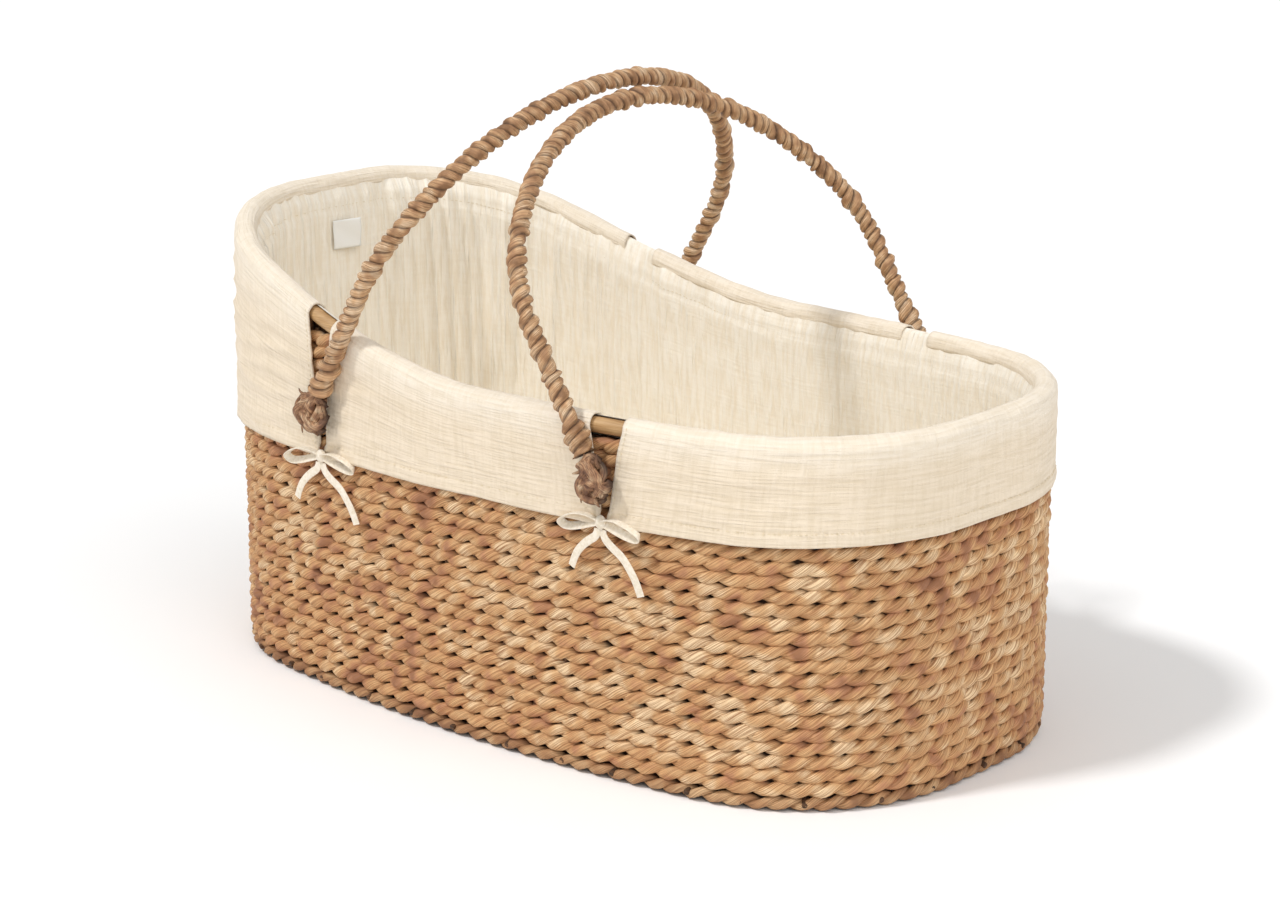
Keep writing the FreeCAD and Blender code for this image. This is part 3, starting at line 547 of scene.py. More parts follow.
# %% Cane
def cane(name, light, dark, roughness):
    """Peeled cane: fine grain stretched along the basket, and slow changes of tone."""
    made, tree, shader = new_material(name, roughness)
    place = add(tree, "ShaderNodeTexCoord").outputs["Object"]
    stretch = add(tree, "ShaderNodeMapping", {"Vector": place, "Scale": (40, 220, 900)})
    grain = add(tree, "ShaderNodeTexNoise",
                {"Vector": stretch.outputs["Vector"], "Scale": 1.0, "Detail": 3.0})
    tone = add(tree, "ShaderNodeTexNoise", {"Vector": place, "Scale": 18.0, "Detail": 2.0})
    both = add(tree, "ShaderNodeMath", {0: grain.outputs["Fac"], 1: tone.outputs["Fac"]},
               operation="MULTIPLY")
    share = add(tree, "ShaderNodeMapRange",
                {"Value": both.outputs[0], "From Min": 0.12, "From Max": 0.38})
    tree.links.new(ramp(tree, share.outputs["Result"], [(0.0, dark), (1.0, light)]),
                   shader.inputs["Base Color"])
    bump = add(tree, "ShaderNodeBump",
               {"Height": grain.outputs["Fac"], "Strength": 0.2, "Distance": 0.0004})
    tree.links.new(bump.outputs["Normal"], shader.inputs["Normal"])
    return made


rim_cane = cane("peeled cane, rim", "#cda878", "#a37a4c", 0.45)
stake_cane = cane("peeled cane, stakes", "#8f6a46", "#523622", 0.6)
cut_cane = cane("cut cane, end grain", "#6e4c31", "#35220f", 0.75)
finish_piece(stake_ends, "basket", cut_cane)


def dress(material, *prefixes):
    """Give a finish to the CAD nodes whose names start with one of the words."""
    for name, node in frame["nodes"].items():
        if name.startswith(prefixes):
            node.data.materials.clear()
            node.data.materials.append(material)


dress(rim_cane, "rim_hoop")
dress(stake_cane, "upright_stakes", "base_cane", "base_runner", "foot_handle_core",
      "head_handle_core")

# The leaf behind the stakes is dark brown, much darker than the outside leaf: its leaf colour carries
# painted shade for the inside of the weave, seen through the gaps.
inner_shade_tones = [(0.0, "#4d3422"), (1.0, "#7b593a")]
made, tree, shader = new_material("dried leaf, behind the stakes", 0.8)
place = add(tree, "ShaderNodeTexCoord").outputs["Object"]
wave = add(tree, "ShaderNodeTexWave", {"Vector": place, "Scale": 25.0, "Distortion": 2.0, "Detail": 2.0},
           bands_direction="Z")
tree.links.new(ramp(tree, wave.outputs["Fac"], inner_shade_tones), shader.inputs["Base Color"])
bump = add(tree, "ShaderNodeBump", {"Height": wave.outputs["Fac"], "Strength": 0.6, "Distance": 0.002})
tree.links.new(bump.outputs["Normal"], shader.inputs["Normal"])
dress(made, "inner_weave", "base_mat")

# %% [markdown]
# ## Cotton muslin
# The liner is double gauze, an open cotton weave washed until it crinkles: warm white, matte,
# with soft puckers a few millimetres apart. The big folds are in the mesh; the crinkle and the
# thread are too fine for it, so they are bump. It is laid out by the cloth's own UV map, which is
# in metres, or by Object coordinates on the tape, the thread and the mattress.

# %% Muslin
def cotton(name, light, shadow, across, down, where="UV", strength=0.5, upright_share=1.0,
           level_share=0.6, padded=None):
    """Crinkled cotton: across and down are how many puckers fit in a metre each way.

    padded gives the light and dark tone where padding lies behind the cloth.
    """
    total = upright_share + level_share
    made, tree, shader = new_material(name, 0.9)
    shader.inputs["Sheen Weight"].default_value = 0.15
    shader.inputs["Sheen Roughness"].default_value = 0.5
    shader.inputs["Specular IOR Level"].default_value = 0.2
    place = add(tree, "ShaderNodeTexCoord").outputs[where]
    upright = add(tree, "ShaderNodeMapping", {"Vector": place, "Scale": (across, down, across)})
    pucker = add(tree, "ShaderNodeTexNoise",
                 {"Vector": upright.outputs["Vector"], "Scale": 1.0, "Detail": 3.0, "Roughness": 0.55,
                  "Distortion": 0.4})
    level = add(tree, "ShaderNodeMapping", {"Vector": place, "Scale": (down * 0.8, across * 1.3, down)})
    wave = add(tree, "ShaderNodeTexNoise",
               {"Vector": level.outputs["Vector"], "Scale": 1.0, "Detail": 2.0})
    # Threads of the open weave, about 0.8 mm apart.
    weave = add(tree, "ShaderNodeTexNoise", {"Vector": place, "Scale": 1250.0, "Detail": 1.0})
    tall = add(tree, "ShaderNodeMath", {0: pucker.outputs["Fac"], 1: upright_share},
               operation="MULTIPLY")
    both = add(tree, "ShaderNodeMath", {0: wave.outputs["Fac"], 1: level_share, 2: tall.outputs[0]},
               operation="MULTIPLY_ADD")
    height = add(tree, "ShaderNodeMath", {0: weave.outputs["Fac"], 1: 0.10, 2: both.outputs[0]},
                 operation="MULTIPLY_ADD")
    # The colour follows the same puckers as the bump: painted shade in their hollows and painted light on
    # their crests.
    share = add(tree, "ShaderNodeMapRange",
                {"Value": both.outputs[0], "From Min": 0.39 * total, "From Max": 0.59 * total})
    tone = ramp(tree, share.outputs["Result"], [(0.0, shadow), (1.0, light)])
    if padded is not None:
        padding = add(tree, "ShaderNodeAttribute", attribute_name="padding")
        over = ramp(tree, share.outputs["Result"], [(0.0, padded[1]), (1.0, padded[0])])
        tone = add(tree, "ShaderNodeMix", {"Factor": padding.outputs["Fac"], "A": tone, "B": over},
                   data_type="RGBA").outputs["Result"]
    tree.links.new(tone, shader.inputs["Base Color"])
    bump = add(tree, "ShaderNodeBump",
               {"Height": height.outputs[0], "Strength": strength, "Distance": 0.0022})
    tree.links.new(bump.outputs["Normal"], shader.inputs["Normal"])
    return made


PADDED_TONES = ("#fcf5e8", "#f4e9d6")
RIM_TONES = ("#f5e9d7", "#ecdec8")
muslin = cotton("cotton double gauze, over leaf", "#eedec7", "#e3d2b8", 230.0, 26.0, strength=0.9,
                upright_share=0.6, level_share=0.8, padded=RIM_TONES)
# Inside, white padding behind the cloth keeps it lighter than where brown leaf shows through.
padded_muslin = cotton("cotton double gauze, over padding", *PADDED_TONES, 230.0, 26.0, strength=0.85,
                       upright_share=1.25, level_share=0.25)
tape_cotton = cotton("cotton tape", "#f4eada", "#e6d9c2", 320.0, 320.0, where="Object",
                     strength=0.4)
thread_cotton = cotton("cotton thread", "#e9dcbf", "#d8c7a4", 900.0, 900.0, where="Object",
                       strength=0.2)
mattress_cotton = cotton("plain cotton", "#f3ecdc", "#ebe2cd", 150.0, 150.0, where="Object",
                         strength=0.25)

# %% [markdown]
# ## The inside of the liner
# Inside, one padded strip stands round the basket. It is gathered into the seam under the rim, so
# soft upright pleats run down from there, deepest at the head end. It could be draped by
# simulation, but a flat grid bent round the outline, with each point pushed in or out by the
# pleats, keeps the cloth clear of the mattress and gives the same folds every time.

# %% Pleats
liner_low, liner_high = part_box("liner_wall")
PADDING = 0.009
LINER_INSET = HALF_LENGTH - liner_high[0] + PADDING
SEAM_DROP = 0.024
ROLL_RADIUS = 0.0104
LINER_THICK = 0.0016
LABEL_HEIGHT = sum(corner[2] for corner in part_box("liner_label")) / 2
# Depths in metres: (at the foot, more at the head).
SLOW_DEPTH = 0.0034
FOLD_DEPTH = (0.0026, 0.0034)
CREASE_DEPTH = (0.0018, 0.0042)
LEVEL_DEPTH = 0.0005
# How many folds of each kind fit in a metre.
SLOW_COUNT, FOLD_COUNT, CREASE_COUNT, LEVEL_COUNT = 8.0, 26.0, 42.0, 45.0
HEAD_START = -0.02
HEAD_BLEND = 0.30
LABEL_REACH_ACROSS = 0.045
LABEL_REACH_UP = 0.04


def ripple(*values):
    """Smooth noise between about -1 and 1."""
    return noise.noise(Vector(values))


def pleats(share, height, x, y):
    """How far the inside of the liner stands out from its plain shape, in metres."""
    along = share * PERIMETER
    head = min(max((HEAD_START - x) / HEAD_BLEND, 0), 1)
    slow = ripple(along * SLOW_COUNT, height * 1.0, 3.1)
    fold = ripple(along * FOLD_COUNT + 2.0 * slow, height * 2.0, 7.7)
    crease = 1 - 2 * abs(ripple(along * CREASE_COUNT + 1.5 * slow, height * 1.4, 11.9)) ** 0.6
    level = ripple(along * 6.0, height * LEVEL_COUNT, 17.0)
    out = (SLOW_DEPTH * slow + (FOLD_DEPTH[0] + FOLD_DEPTH[1] * head) * fold
           + (CREASE_DEPTH[0] + CREASE_DEPTH[1] * head) * crease + LEVEL_DEPTH * level)
    # The sewn label keeps the cloth behind it flat.
    near_label = (x < -0.3) * math.exp(-(y / LABEL_REACH_ACROSS) ** 2
                                       - ((height - LABEL_HEIGHT) / LABEL_REACH_UP) ** 2)
    return out * (1 - 0.9 * near_label)


def grid_piece(name, columns, rows, place, closed, wide=1.0, tall=1.0, shade=None, mark="hollow"):
    """Grid whose point at (a, b), both 0 to 1, stands at place(a, b); its UV map is in metres."""
    form = bmesh.new()
    layer = form.loops.layers.uv.new("UVMap")
    bmesh.ops.create_grid(form, x_segments=columns, y_segments=rows, size=0.5, calc_uvs=True)
    for face in form.faces:
        for corner in face.loops:
            corner[layer].uv = (corner[layer].uv.x * wide, corner[layer].uv.y * tall)
    layer_of_mark = form.verts.layers.float.new(mark)
    for point in form.verts:
        a, b = point.co.x + 0.5, point.co.y + 0.5
        point.co = Vector(place(a, b))
        if shade is not None:
            point[layer_of_mark] = shade(a, b)
    if closed:
        bmesh.ops.remove_doubles(form, verts=form.verts, dist=1e-5)
    bmesh.ops.recalc_face_normals(form, faces=form.faces)
    mesh = bpy.data.meshes.new(name)
    form.to_mesh(mesh)
    form.free()
    return smooth(linked(name, mesh))


# %% Inner strip
# Over the rim the strip follows the hoop as far as its crest, so only the outer half of the hoop
# shows in an opening.
WALL_SHARE = 0.93
OVER_RISE = 0.004
OVER_REACH = 0.0077
CREST_TURN = 0.12
OVER_LEAN = LINER_INSET - RIM_INSET - OVER_REACH
OVER_RADIUS = math.hypot(OVER_REACH, OVER_RISE)
OVER_START = math.atan2(OVER_REACH, OVER_RISE) - CREST_TURN
LEAN_DROP = 0.030
SEAM_PULL = 0.0021
SEAM_HALF_WIDTH = 0.0022


def inside_place(a, b):
    """Point of the inner strip: b runs from the floor up, and over the hoop to its crest."""
    x, y, _, _ = plan(a)
    top = rim_height(x) + OVER_RISE
    if b > WALL_SHARE:
        turn = OVER_START * (1 - (b - WALL_SHARE) / (1 - WALL_SHARE)) + CREST_TURN
        px, py, _, _ = plan(a, RIM_INSET + OVER_RADIUS * math.sin(turn))
        return px, py, rim_height(x) + OVER_RADIUS * math.cos(turn)
    low = liner_low[2]
    height = low + (top - low) * b / WALL_SHARE
    below = top - height
    lean = max(0.0, 1 - below / LEAN_DROP) ** 1.6 * OVER_LEAN
    inset = LINER_INSET - lean
    seam = math.exp(-((below - SEAM_DROP) / SEAM_HALF_WIDTH) ** 2)
    # The pleats fade out just under the rim, and to under half their depth at the floor.
    fade = min(1.0, below / 0.016) * (0.45 + 0.55 * min(1.0, height / 0.25))
    inset += pleats(a, height, x, y) * fade - SEAM_PULL * seam
    px, py, _, _ = plan(a, inset)
    return px, py, height


inside = grid_piece("liner_inside", 1200, 80, inside_place, True, PERIMETER, 0.36)
finish_piece(inside, "basket", padded_muslin, "liner_wall")

# %% [markdown]
# ## The skirt
# Over the rim and down outside, the liner is four panels with an opening between each pair, where
# a handle comes out. The sides of an opening are drawn together at the hem by a bow, so each is a
# narrow V. The hem is turned up and stitched, which leaves a shallow line of puckers above it.

# %% Openings and hem
fold_joint = next(joint for joint in frame["joints"] if joint["name"] == "foot_handle_fold")
SLOT_X = fold_joint["pos_m"][0]
SLOT_TOP = 0.0175
SLOT_FOOT = 0.0030
HEM_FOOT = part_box("skirt_foot")[0][2]
HEM_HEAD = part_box("skirt_head")[0][2]
HEM_DEPTH = 0.012
SKIRT_OUT = 0.0032
ROLL_START = -1.9
ROLL_SHARE = 0.28


def hem_height(x):
    """Height of the skirt's lower edge at x."""
    return HEM_HEAD + (HEM_FOOT - HEM_HEAD) * (x + HALF_LENGTH) / (2 * HALF_LENGTH)


SLOTS = {("foot", "near"): share_at(SLOT_X, -1), ("foot", "far"): share_at(SLOT_X, 1),
         ("head", "far"): share_at(-SLOT_X, 1), ("head", "near"): share_at(-SLOT_X, -1)}
PANELS = {
    "foot": (SLOTS["foot", "near"], SLOTS["foot", "far"]),
    "far": (SLOTS["foot", "far"], SLOTS["head", "far"]),
    "head": (SLOTS["head", "far"], SLOTS["head", "near"]),
    "near": (SLOTS["head", "near"] - 1, SLOTS["foot", "near"]),
}


# %% Folds of the skirt
WAVE_DEPTH = 0.0026
FINE_DEPTH = 0.0009
LEVEL_FOLD_DEPTH = (0.0008, 0.0020)
PULL_DEPTH = 0.0018
PULL_REACH = 0.035
PULL_RISE = 0.09
PULL_FOLDS = 9.0


def skirt_wave(share, height, x, drop, hang):
    """Puckers and waves of the skirt, in metres outwards."""
    along = share * PERIMETER
    head = min(max((-0.12 - x) / 0.2, 0), 1)
    wave = WAVE_DEPTH * hang * ripple(along * 13.0, height * 5.0, 21.0)
    fine = FINE_DEPTH * ripple(along * 45.0, height * 55.0, 23.0)
    crossing = 1 - 2 * abs(ripple(along * 8.0, height * 46.0, 27.0)) ** 0.7
    level = (LEVEL_FOLD_DEPTH[0] + LEVEL_FOLD_DEPTH[1] * head) * hang * crossing
    # Small folds fan out from each bow, where the hem is drawn together.
    tied = 0.0
    for slot in SLOTS.values():
        away = abs((share - slot + 0.5) % 1.0 - 0.5) * PERIMETER
        low = max(0.0, 1 - drop / PULL_RISE)
        pull = math.exp(-(away / PULL_REACH) ** 2) * low
        fan = math.atan2(drop + 0.004, away + 0.004)
        tied += PULL_DEPTH * pull * math.sin(PULL_FOLDS * fan)
    return wave + fine + level + tied


# %% Skirt panels
STITCH_GROOVE = 0.0011
GROOVE_HALF_WIDTH = 0.0013
HEM_FOLD = 0.0006
PUCKER_PITCH = 0.0075


def skirt_place(first, last):
    """Function that places the grid of one panel between two openings."""
    def place(a, b):
        # b 0..ROLL_SHARE goes over the rim, the rest hangs down to the hem.
        hang = max(0.0, (b - ROLL_SHARE) / (1 - ROLL_SHARE))
        wide = SLOT_TOP + (SLOT_FOOT - SLOT_TOP) * hang ** 0.8
        edge = wide / PERIMETER
        share = first + edge + (last - first - 2 * edge) * a
        x, _, _, _ = plan(share)
        rim = rim_height(x)
        if b < ROLL_SHARE:
            turn = ROLL_START + (PI / 2 - ROLL_START) * b / ROLL_SHARE
            along = share * PERIMETER
            puff = (1 + 0.10 * ripple(along * 30.0, turn, 31.0)
                    + 0.05 * ripple(along * 75.0, 2 * turn, 33.0))
            out = ROLL_RADIUS * puff * math.sin(turn)
            height = rim + ROLL_RADIUS * puff * math.cos(turn)
            px, py, _, _ = plan(share, RIM_INSET - out)
            return px, py, height
        hem = hem_height(x)
        height = rim + (hem - rim) * hang
        drop = height - hem
        out = ROLL_RADIUS + (SKIRT_OUT + RIM_INSET - ROLL_RADIUS) * min(1.0, hang * 4)
        out += skirt_wave(share, height, x, drop, min(1.0, hang * 3))
        groove = math.exp(-((drop - HEM_DEPTH) / GROOVE_HALF_WIDTH) ** 2)
        bite = 0.6 + 0.4 * math.sin(share * PERIMETER * 2 * PI / PUCKER_PITCH)
        out += HEM_FOLD * (drop < HEM_DEPTH) - STITCH_GROOVE * groove * bite
        px, py, _, _ = plan(share, RIM_INSET - out)
        return px, py, height
    return place


def over_rim(a, b):
    """1 where the skirt lies on the padded rim, falling to 0 a little below it."""
    return min(max(1 - (b - ROLL_SHARE) / 0.2, 0.0), 1.0)


# The cut height of each panel with its turned-up hem, and its flat area: all but the foot panel
# are cut deeper towards the head.
SKIRT_CUTS = {"foot": (0.128, 0.098), "far": (0.172, 0.052), "head": (0.250, 0.175),
              "near": (0.172, 0.052)}
SKIRT_RESTS = {"foot": ["rim_hoop_near", "rim_hoop_far"], "far": ["rim_hoop_far"],
               "head": ["rim_hoop_near", "rim_hoop_far"], "near": ["rim_hoop_near"]}
COLUMN_WIDTH = 0.0024
SKIRT_ROWS = 72
for name, (first, last) in PANELS.items():
    length = (last - first) * PERIMETER
    panel = grid_piece(f"liner_skirt_{name}", int(length / COLUMN_WIDTH), SKIRT_ROWS,
                       skirt_place(first, last), False, length, SKIRT_CUTS[name][0], over_rim,
                       "padding")
    cloth = panel.modifiers.new("cloth", "SOLIDIFY")
    cloth.thickness = LINER_THICK
    cloth.offset = 0
    finish_piece(panel, "basket", muslin, f"skirt_{name}", f"rim_roll_{name}")
    cut_height, cut_area = SKIRT_CUTS[name]
    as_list(SKIRT_RESTS[name])
    print(f"skirt {name}: {length:.3f} m long")

# %% [markdown]
# ## Stitches
# The hem, the edges of the openings and the seam inside are sewn with plain thread. Each stitch is
# a tiny bar, and the bars follow one another along a line just clear of the cloth.

# %% Stitches
STITCH = 0.0030
STITCH_GAP = 0.0015


def stitches(name, lines, size=0.0004):
    """Short bars along lines of points, each a stitch long with a gap after it."""
    form = bmesh.new()
    for line in lines:
        line = [Vector(p) for p in line]
        begin = line[0]
        for here in line[1:]:
            if (here - begin).length >= STITCH:
                middle = (begin + here) / 2
                direction = (here - begin).normalized()
                turn = direction.to_track_quat("X", "Z").to_matrix().to_4x4()
                scale = Matrix.Diagonal((STITCH * 0.8, size, size, 1))
                bmesh.ops.create_cube(form, size=1.0,
                                      matrix=Matrix.Translation(middle) @ turn @ scale)
                begin = here + direction * STITCH_GAP
    mesh = bpy.data.meshes.new(name)
    form.to_mesh(mesh)
    form.free()
    return linked(name, mesh)


STITCH_LIFT = LINER_THICK / 2 + 0.0003
EDGE_MARGIN = 0.0045
EDGE_STEPS = 300
STITCH_STEP = 0.0005
SEAM_LIFT = 0.0004
thread_lines = []
for name, (first, last) in PANELS.items():
    place = skirt_place(first, last)
    length = (last - first) * PERIMETER
    margin = EDGE_MARGIN / length

    def lifted(a, b):
        """Point a little outside the cloth of this panel."""
        px, py, pz = place(a, b)
        share = first + (last - first) * a
        _, _, nx, ny = plan(share)
        return px + nx * STITCH_LIFT, py + ny * STITCH_LIFT, pz

    for edge in (margin, 1 - margin):
        high, low = 0.85 * ROLL_SHARE, 0.985
        thread_lines.append([lifted(edge, high + (low - high) * i / EDGE_STEPS)
                             for i in range(EDGE_STEPS + 1)])
    line = []
    steps = int(length / STITCH_STEP)
    for i in range(steps + 1):
        a = margin + (1 - 2 * margin) * i / steps
        x, _, _, _ = plan(first + (last - first) * a)
        rim, hem = rim_height(x), hem_height(x)
        hang = (rim - hem - HEM_DEPTH) / (rim - hem)
        line.append(lifted(a, ROLL_SHARE + (1 - ROLL_SHARE) * hang))
    thread_lines.append(line)
skirt_thread = stitches("skirt_stitches", thread_lines)
finish_piece(skirt_thread, "basket", thread_cotton)

# %% Seam inside
seam_line = []
seam_steps = int(PERIMETER / STITCH_STEP)
for i in range(seam_steps + 1):
    share = i / seam_steps
    x, _, _, _ = plan(share)
    top = rim_height(x) + OVER_RISE
    px, py, pz = inside_place(share, WALL_SHARE * (1 - SEAM_DROP / (top - liner_low[2])))
    _, _, nx, ny = plan(share)
    seam_line.append((px - nx * SEAM_LIFT, py - ny * SEAM_LIFT, pz))
seam_thread = stitches("seam_stitches", [seam_line])
finish_piece(seam_thread, "basket", thread_cotton)

# %% [markdown]
# ## Handles
# Each handle is a cane wrapped with strips of flat leaf, every turn lapping the one before. One
# grid makes the whole wrap: its columns run round the cane on a slant and its rows run along it, so
# the laps stay whole, and noise makes each a little fatter, flatter or further on than the next.

# %% Handles
HANDLE_TONES = [(0.0, "#8a6443"), (0.3, "#bc8e66"), (0.6, "#d8ae82"), (1.0, "#ecceaa")]
handle_leaf = leaf("dried leaf, flat wrap", HANDLE_TONES, "#8f6946", 30, 1400, roughness=0.6,
                   change=75.0)
KNOT_TONES = [(0.0, "#75503a"), (0.4, "#ae815d"), (0.75, "#cfa67f"), (1.0, "#e6c7a2")]
knot_leaf = leaf("dried leaf, tight coil", KNOT_TONES, "#654430", 10, 22, roughness=0.65,
                 change=110.0)

PIVOT_HEIGHT = 0.285
LEG = 0.136
SHOULDER = 0.140
MEET_X = 0.007
WRAP_PITCH = 0.0098
WRAP_RADIUS = 0.0058


def knot_middle(handle, side):
    """Middle of a handle's end knot, from the frame."""
    low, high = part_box(f"{handle}_handle_knot_{side}")
    return (Vector(low) + Vector(high)) / 2


def arch(handle, end, height, spacing=0.0007):
    """Points along a handle, with the two directions square to it at each."""
    span = abs(knot_middle(handle, "near").y)
    lean = math.asin((SLOT_X - MEET_X) / height)
    rise = height - LEG
    crown = ((span - SHOULDER) ** 2 + rise ** 2 - SHOULDER ** 2) / (2 * (rise - SHOULDER))
    turn = math.asin((span - SHOULDER) / (crown - SHOULDER))
    bend = PI / 2 - turn
    start = 0.0205
    flat = []
    for i in range(int((LEG - start) / spacing)):
        up = start + i * spacing
        flat.append((-span, up, 0.0, 1.0))
    for i in range(int(SHOULDER * bend / spacing)):
        angle = i * spacing / SHOULDER
        flat.append((-(span - SHOULDER + SHOULDER * math.cos(angle)), LEG + SHOULDER * math.sin(angle),
                     math.sin(angle), math.cos(angle)))
    for i in range(int(crown * turn / spacing)):
        angle = -turn + i * spacing / crown
        flat.append((crown * math.sin(angle), height - crown + crown * math.cos(angle),
                     math.cos(angle), -math.sin(angle)))
    mirror = [(-across, up, da, -du) for across, up, da, du in reversed(flat)]
    flat += mirror
    out = []
    normal = Vector((end * math.cos(lean), 0, math.sin(lean)))
    for across, up, da, du in flat:
        point = Vector((end * (SLOT_X - up * math.sin(lean)), across, PIVOT_HEIGHT + up * math.cos(lean)))
        way = Vector((-end * du * math.sin(lean), da, du * math.cos(lean))).normalized()
        out.append((point, normal, way.cross(normal).normalized(), way))
    return out


WRAP_STEPS = 9
END_SWELL = 0.30
STRIPS = 2
WRAP_ROUND = 20


def wrapped(handle, end, height, seed):
    """The leaf wrap of one handle: a grid that runs round the cane on a slant, lap by lap."""
    line = arch(handle, end, height)
    spacing = (line[1][0] - line[0][0]).length
    length = spacing * (len(line) - 1)
    turns = int(length / WRAP_PITCH) + STRIPS + 1

    def place(a, b):
        lap = b * turns + STRIPS * (a - 1)
        across = (b * turns) % 1.0
        warp = 0.0062 * ripple(seed, lap * 0.55, 2.0)
        travel = min(max(lap * WRAP_PITCH + warp, 0.0), length)
        point, normal, side, _ = line[min(int(travel / spacing), len(line) - 1)]
        number = math.floor(b * turns + 1e-6) + STRIPS * a
        bulge = ripple(seed, number * 0.83, 9.0)
        crease = ripple(seed + 40.0, across * 5.0, number * 2.2)
        lip = 0.0028 * math.sin(PI * min(across * 1.08, 1.0)) ** 0.6 + 0.0004 * across
        thick = 1 + END_SWELL * math.exp(-(min(travel, length - travel) / 0.030) ** 2)
        reach = thick * (WRAP_RADIUS + lip * (1 + 0.6 * bulge) + 0.0015 * bulge + 0.0006 * crease)
        angle = 2 * PI * a
        return point + (normal * math.cos(angle) + side * math.sin(angle)) * reach

    # Painted shade along both edges of each lap, where it meets the next one.
    def shade(a, b):
        across = (b * turns) % 1.0
        return 0.75 * max(0.0, 1 - min(across, 1 - across) / 0.16)

    wrap = grid_piece(f"{handle}_handle_wrap_leaf", WRAP_ROUND, turns * WRAP_STEPS, place, True,
                      0.055, length, shade)
    form = bmesh.new()
    form.from_mesh(wrap.data)
    bmesh.ops.holes_fill(form, edges=[edge for edge in form.edges if edge.is_boundary])
    bmesh.ops.recalc_face_normals(form, faces=form.faces)
    form.to_mesh(wrap.data)
    form.free()
    return wrap


for handle, end, seed in (("foot", 1, 3.0), ("head", -1, 8.0)):
    height = {"foot": 0.330, "head": 0.344}[handle]
    wrap = wrapped(handle, end, height, seed)
    finish_piece(wrap, f"{handle}_handle", handle_leaf, f"{handle}_handle_wrap")
    print(f"{handle} handle: {len(wrap.data.polygons)} faces")

# %% [markdown]
# ## Knots
# Where a handle comes out it ends in a coiled knot, a rosette of darker leaf strip wound on itself,
# with a few short frayed ends. A flat spiral with strips crossing over it gives the same layers, and
# the gaps between them get painted shade, as the weave's do.

# %% Knots
coil_section = folded_section("coil_section", 0.0050, 0.70, 4, 0.16, count=12)
KNOT_REACH = 0.0185
KNOT_TALL = 1.25
KNOT_HANG = 0.003
CROSSINGS = 5


def knot_coil(handle, side, seed):
    """Spiral coil, crossing strips and the frayed ends of one knot."""
    middle = knot_middle(handle, side) - Vector((0, 0, KNOT_HANG))
    out = Vector((0, -1 if side == "near" else 1, 0))
    along = Vector((1, 0, 0))
    up = Vector((0, 0, KNOT_TALL))
    paths = []
    coil = []
    for i in range(170):
        t = i / 169
        angle = 2 * PI * 2.7 * t + seed
        reach = 0.0010 + (KNOT_REACH - 0.0035) * t * (1 + 0.16 * ripple(seed, 5.0 * t, 1.0))
        lift = 0.0028 * math.cos(2.6 * angle) + 0.0048 * (1 - t)
        coil.append(middle + (along * math.cos(angle) + up * math.sin(angle)) * reach + out * lift)
    thick = [0.95 + 0.25 * ripple(seed, i * 0.11, 4.0) for i in range(170)]
    paths.append((np.array(coil), thick, [0.05 * i for i in range(170)], False))
    for loop in range(CROSSINGS):
        lean = seed + loop * PI / CROSSINGS * 2 + 0.3 * ripple(seed, loop * 2.1, 2.0)
        axis = along * math.cos(lean) + up * math.sin(lean)
        cross = up * math.cos(lean) - along * math.sin(lean)
        aside = 0.0052 * (-1) ** loop
        band = []
        for i in range(41):
            angle = PI * (i / 40) * 1.2 - 0.3
            band.append(middle + axis * (KNOT_REACH - 0.0040) * math.cos(angle)
                        + out * (0.0060 + 0.0012 * loop / 2) * math.sin(angle)
                        + cross * (aside + 0.0050 * math.sin(2 * angle + loop)))
        paths.append((np.array(band), [0.95 + 0.15 * ripple(seed, loop, i * 0.2) for i in range(41)],
                      [0.08 * i for i in range(41)], False))
    for end in range(6):
        angle = seed * 1.7 + end * 1.1
        start = middle + (along * math.cos(angle) + up * math.sin(angle)) * 0.012 + out * 0.002
        tip = start + (along * math.cos(angle + 0.6) + up * math.sin(angle + 0.6)) * 0.010 + out * 0.002
        fray = [start.lerp(tip, i / 7) + out * 0.002 * math.sin(i / 7 * PI) for i in range(8)]
        paths.append((np.array(fray), [0.55 * (1 - 0.8 * i / 7) for i in range(8)], None, False))
    knot = sweep(f"{handle}_handle_knot_coil_{side}", paths, profile=coil_section)
    # Painted shade: points set back in the knot, towards the wall and out at its edge, are darkened
    # towards the gap colour.
    layer = knot.data.attributes.new("hollow", "FLOAT", "POINT")
    for mark, point in zip(layer.data, knot.data.vertices):
        offset = point.co - middle
        level = offset.dot(out) + 0.30 * (KNOT_REACH - offset.length)
        mark.value = min(max((0.0078 - level) / 0.0085, 0.0), 1.0) ** 1.5
    return knot


for handle in ("foot", "head"):
    for side in ("near", "far"):
        seed = {"foot": 1.0, "head": 2.3}[handle] + {"near": 0.0, "far": 3.9}[side]
        knot = knot_coil(handle, side, seed)
        finish_piece(knot, f"{handle}_handle", knot_leaf, f"{handle}_handle_knot_{side}")
dress(knot_leaf, "foot_handle_lashing", "head_handle_lashing")

# %% [markdown]
# ## Ties
# At the hem each opening is closed by a bow of narrow cotton tape. The tape is flat, so a curve is
# given a width by its extrude and a thickness by its bevel. The tails are the loose ends of the
# tape.

# %% Ties
TAPE_WIDTH = 0.008
TAPE_THICK = 0.0011
LONG_TAIL = [(3, 0, -6), (3, 0, -12), (14, 1.5, -19), (26, 0.5, -26), (36, 2, -35), (43, 1, -46),
             (47, 0, -58)]
SHORT_TAIL = [(-3, 0, -6), (-3, 0, -12), (-12, 1.5, -18), (-21, 1, -25), (-28, 2, -34), (-33, 1, -46)]


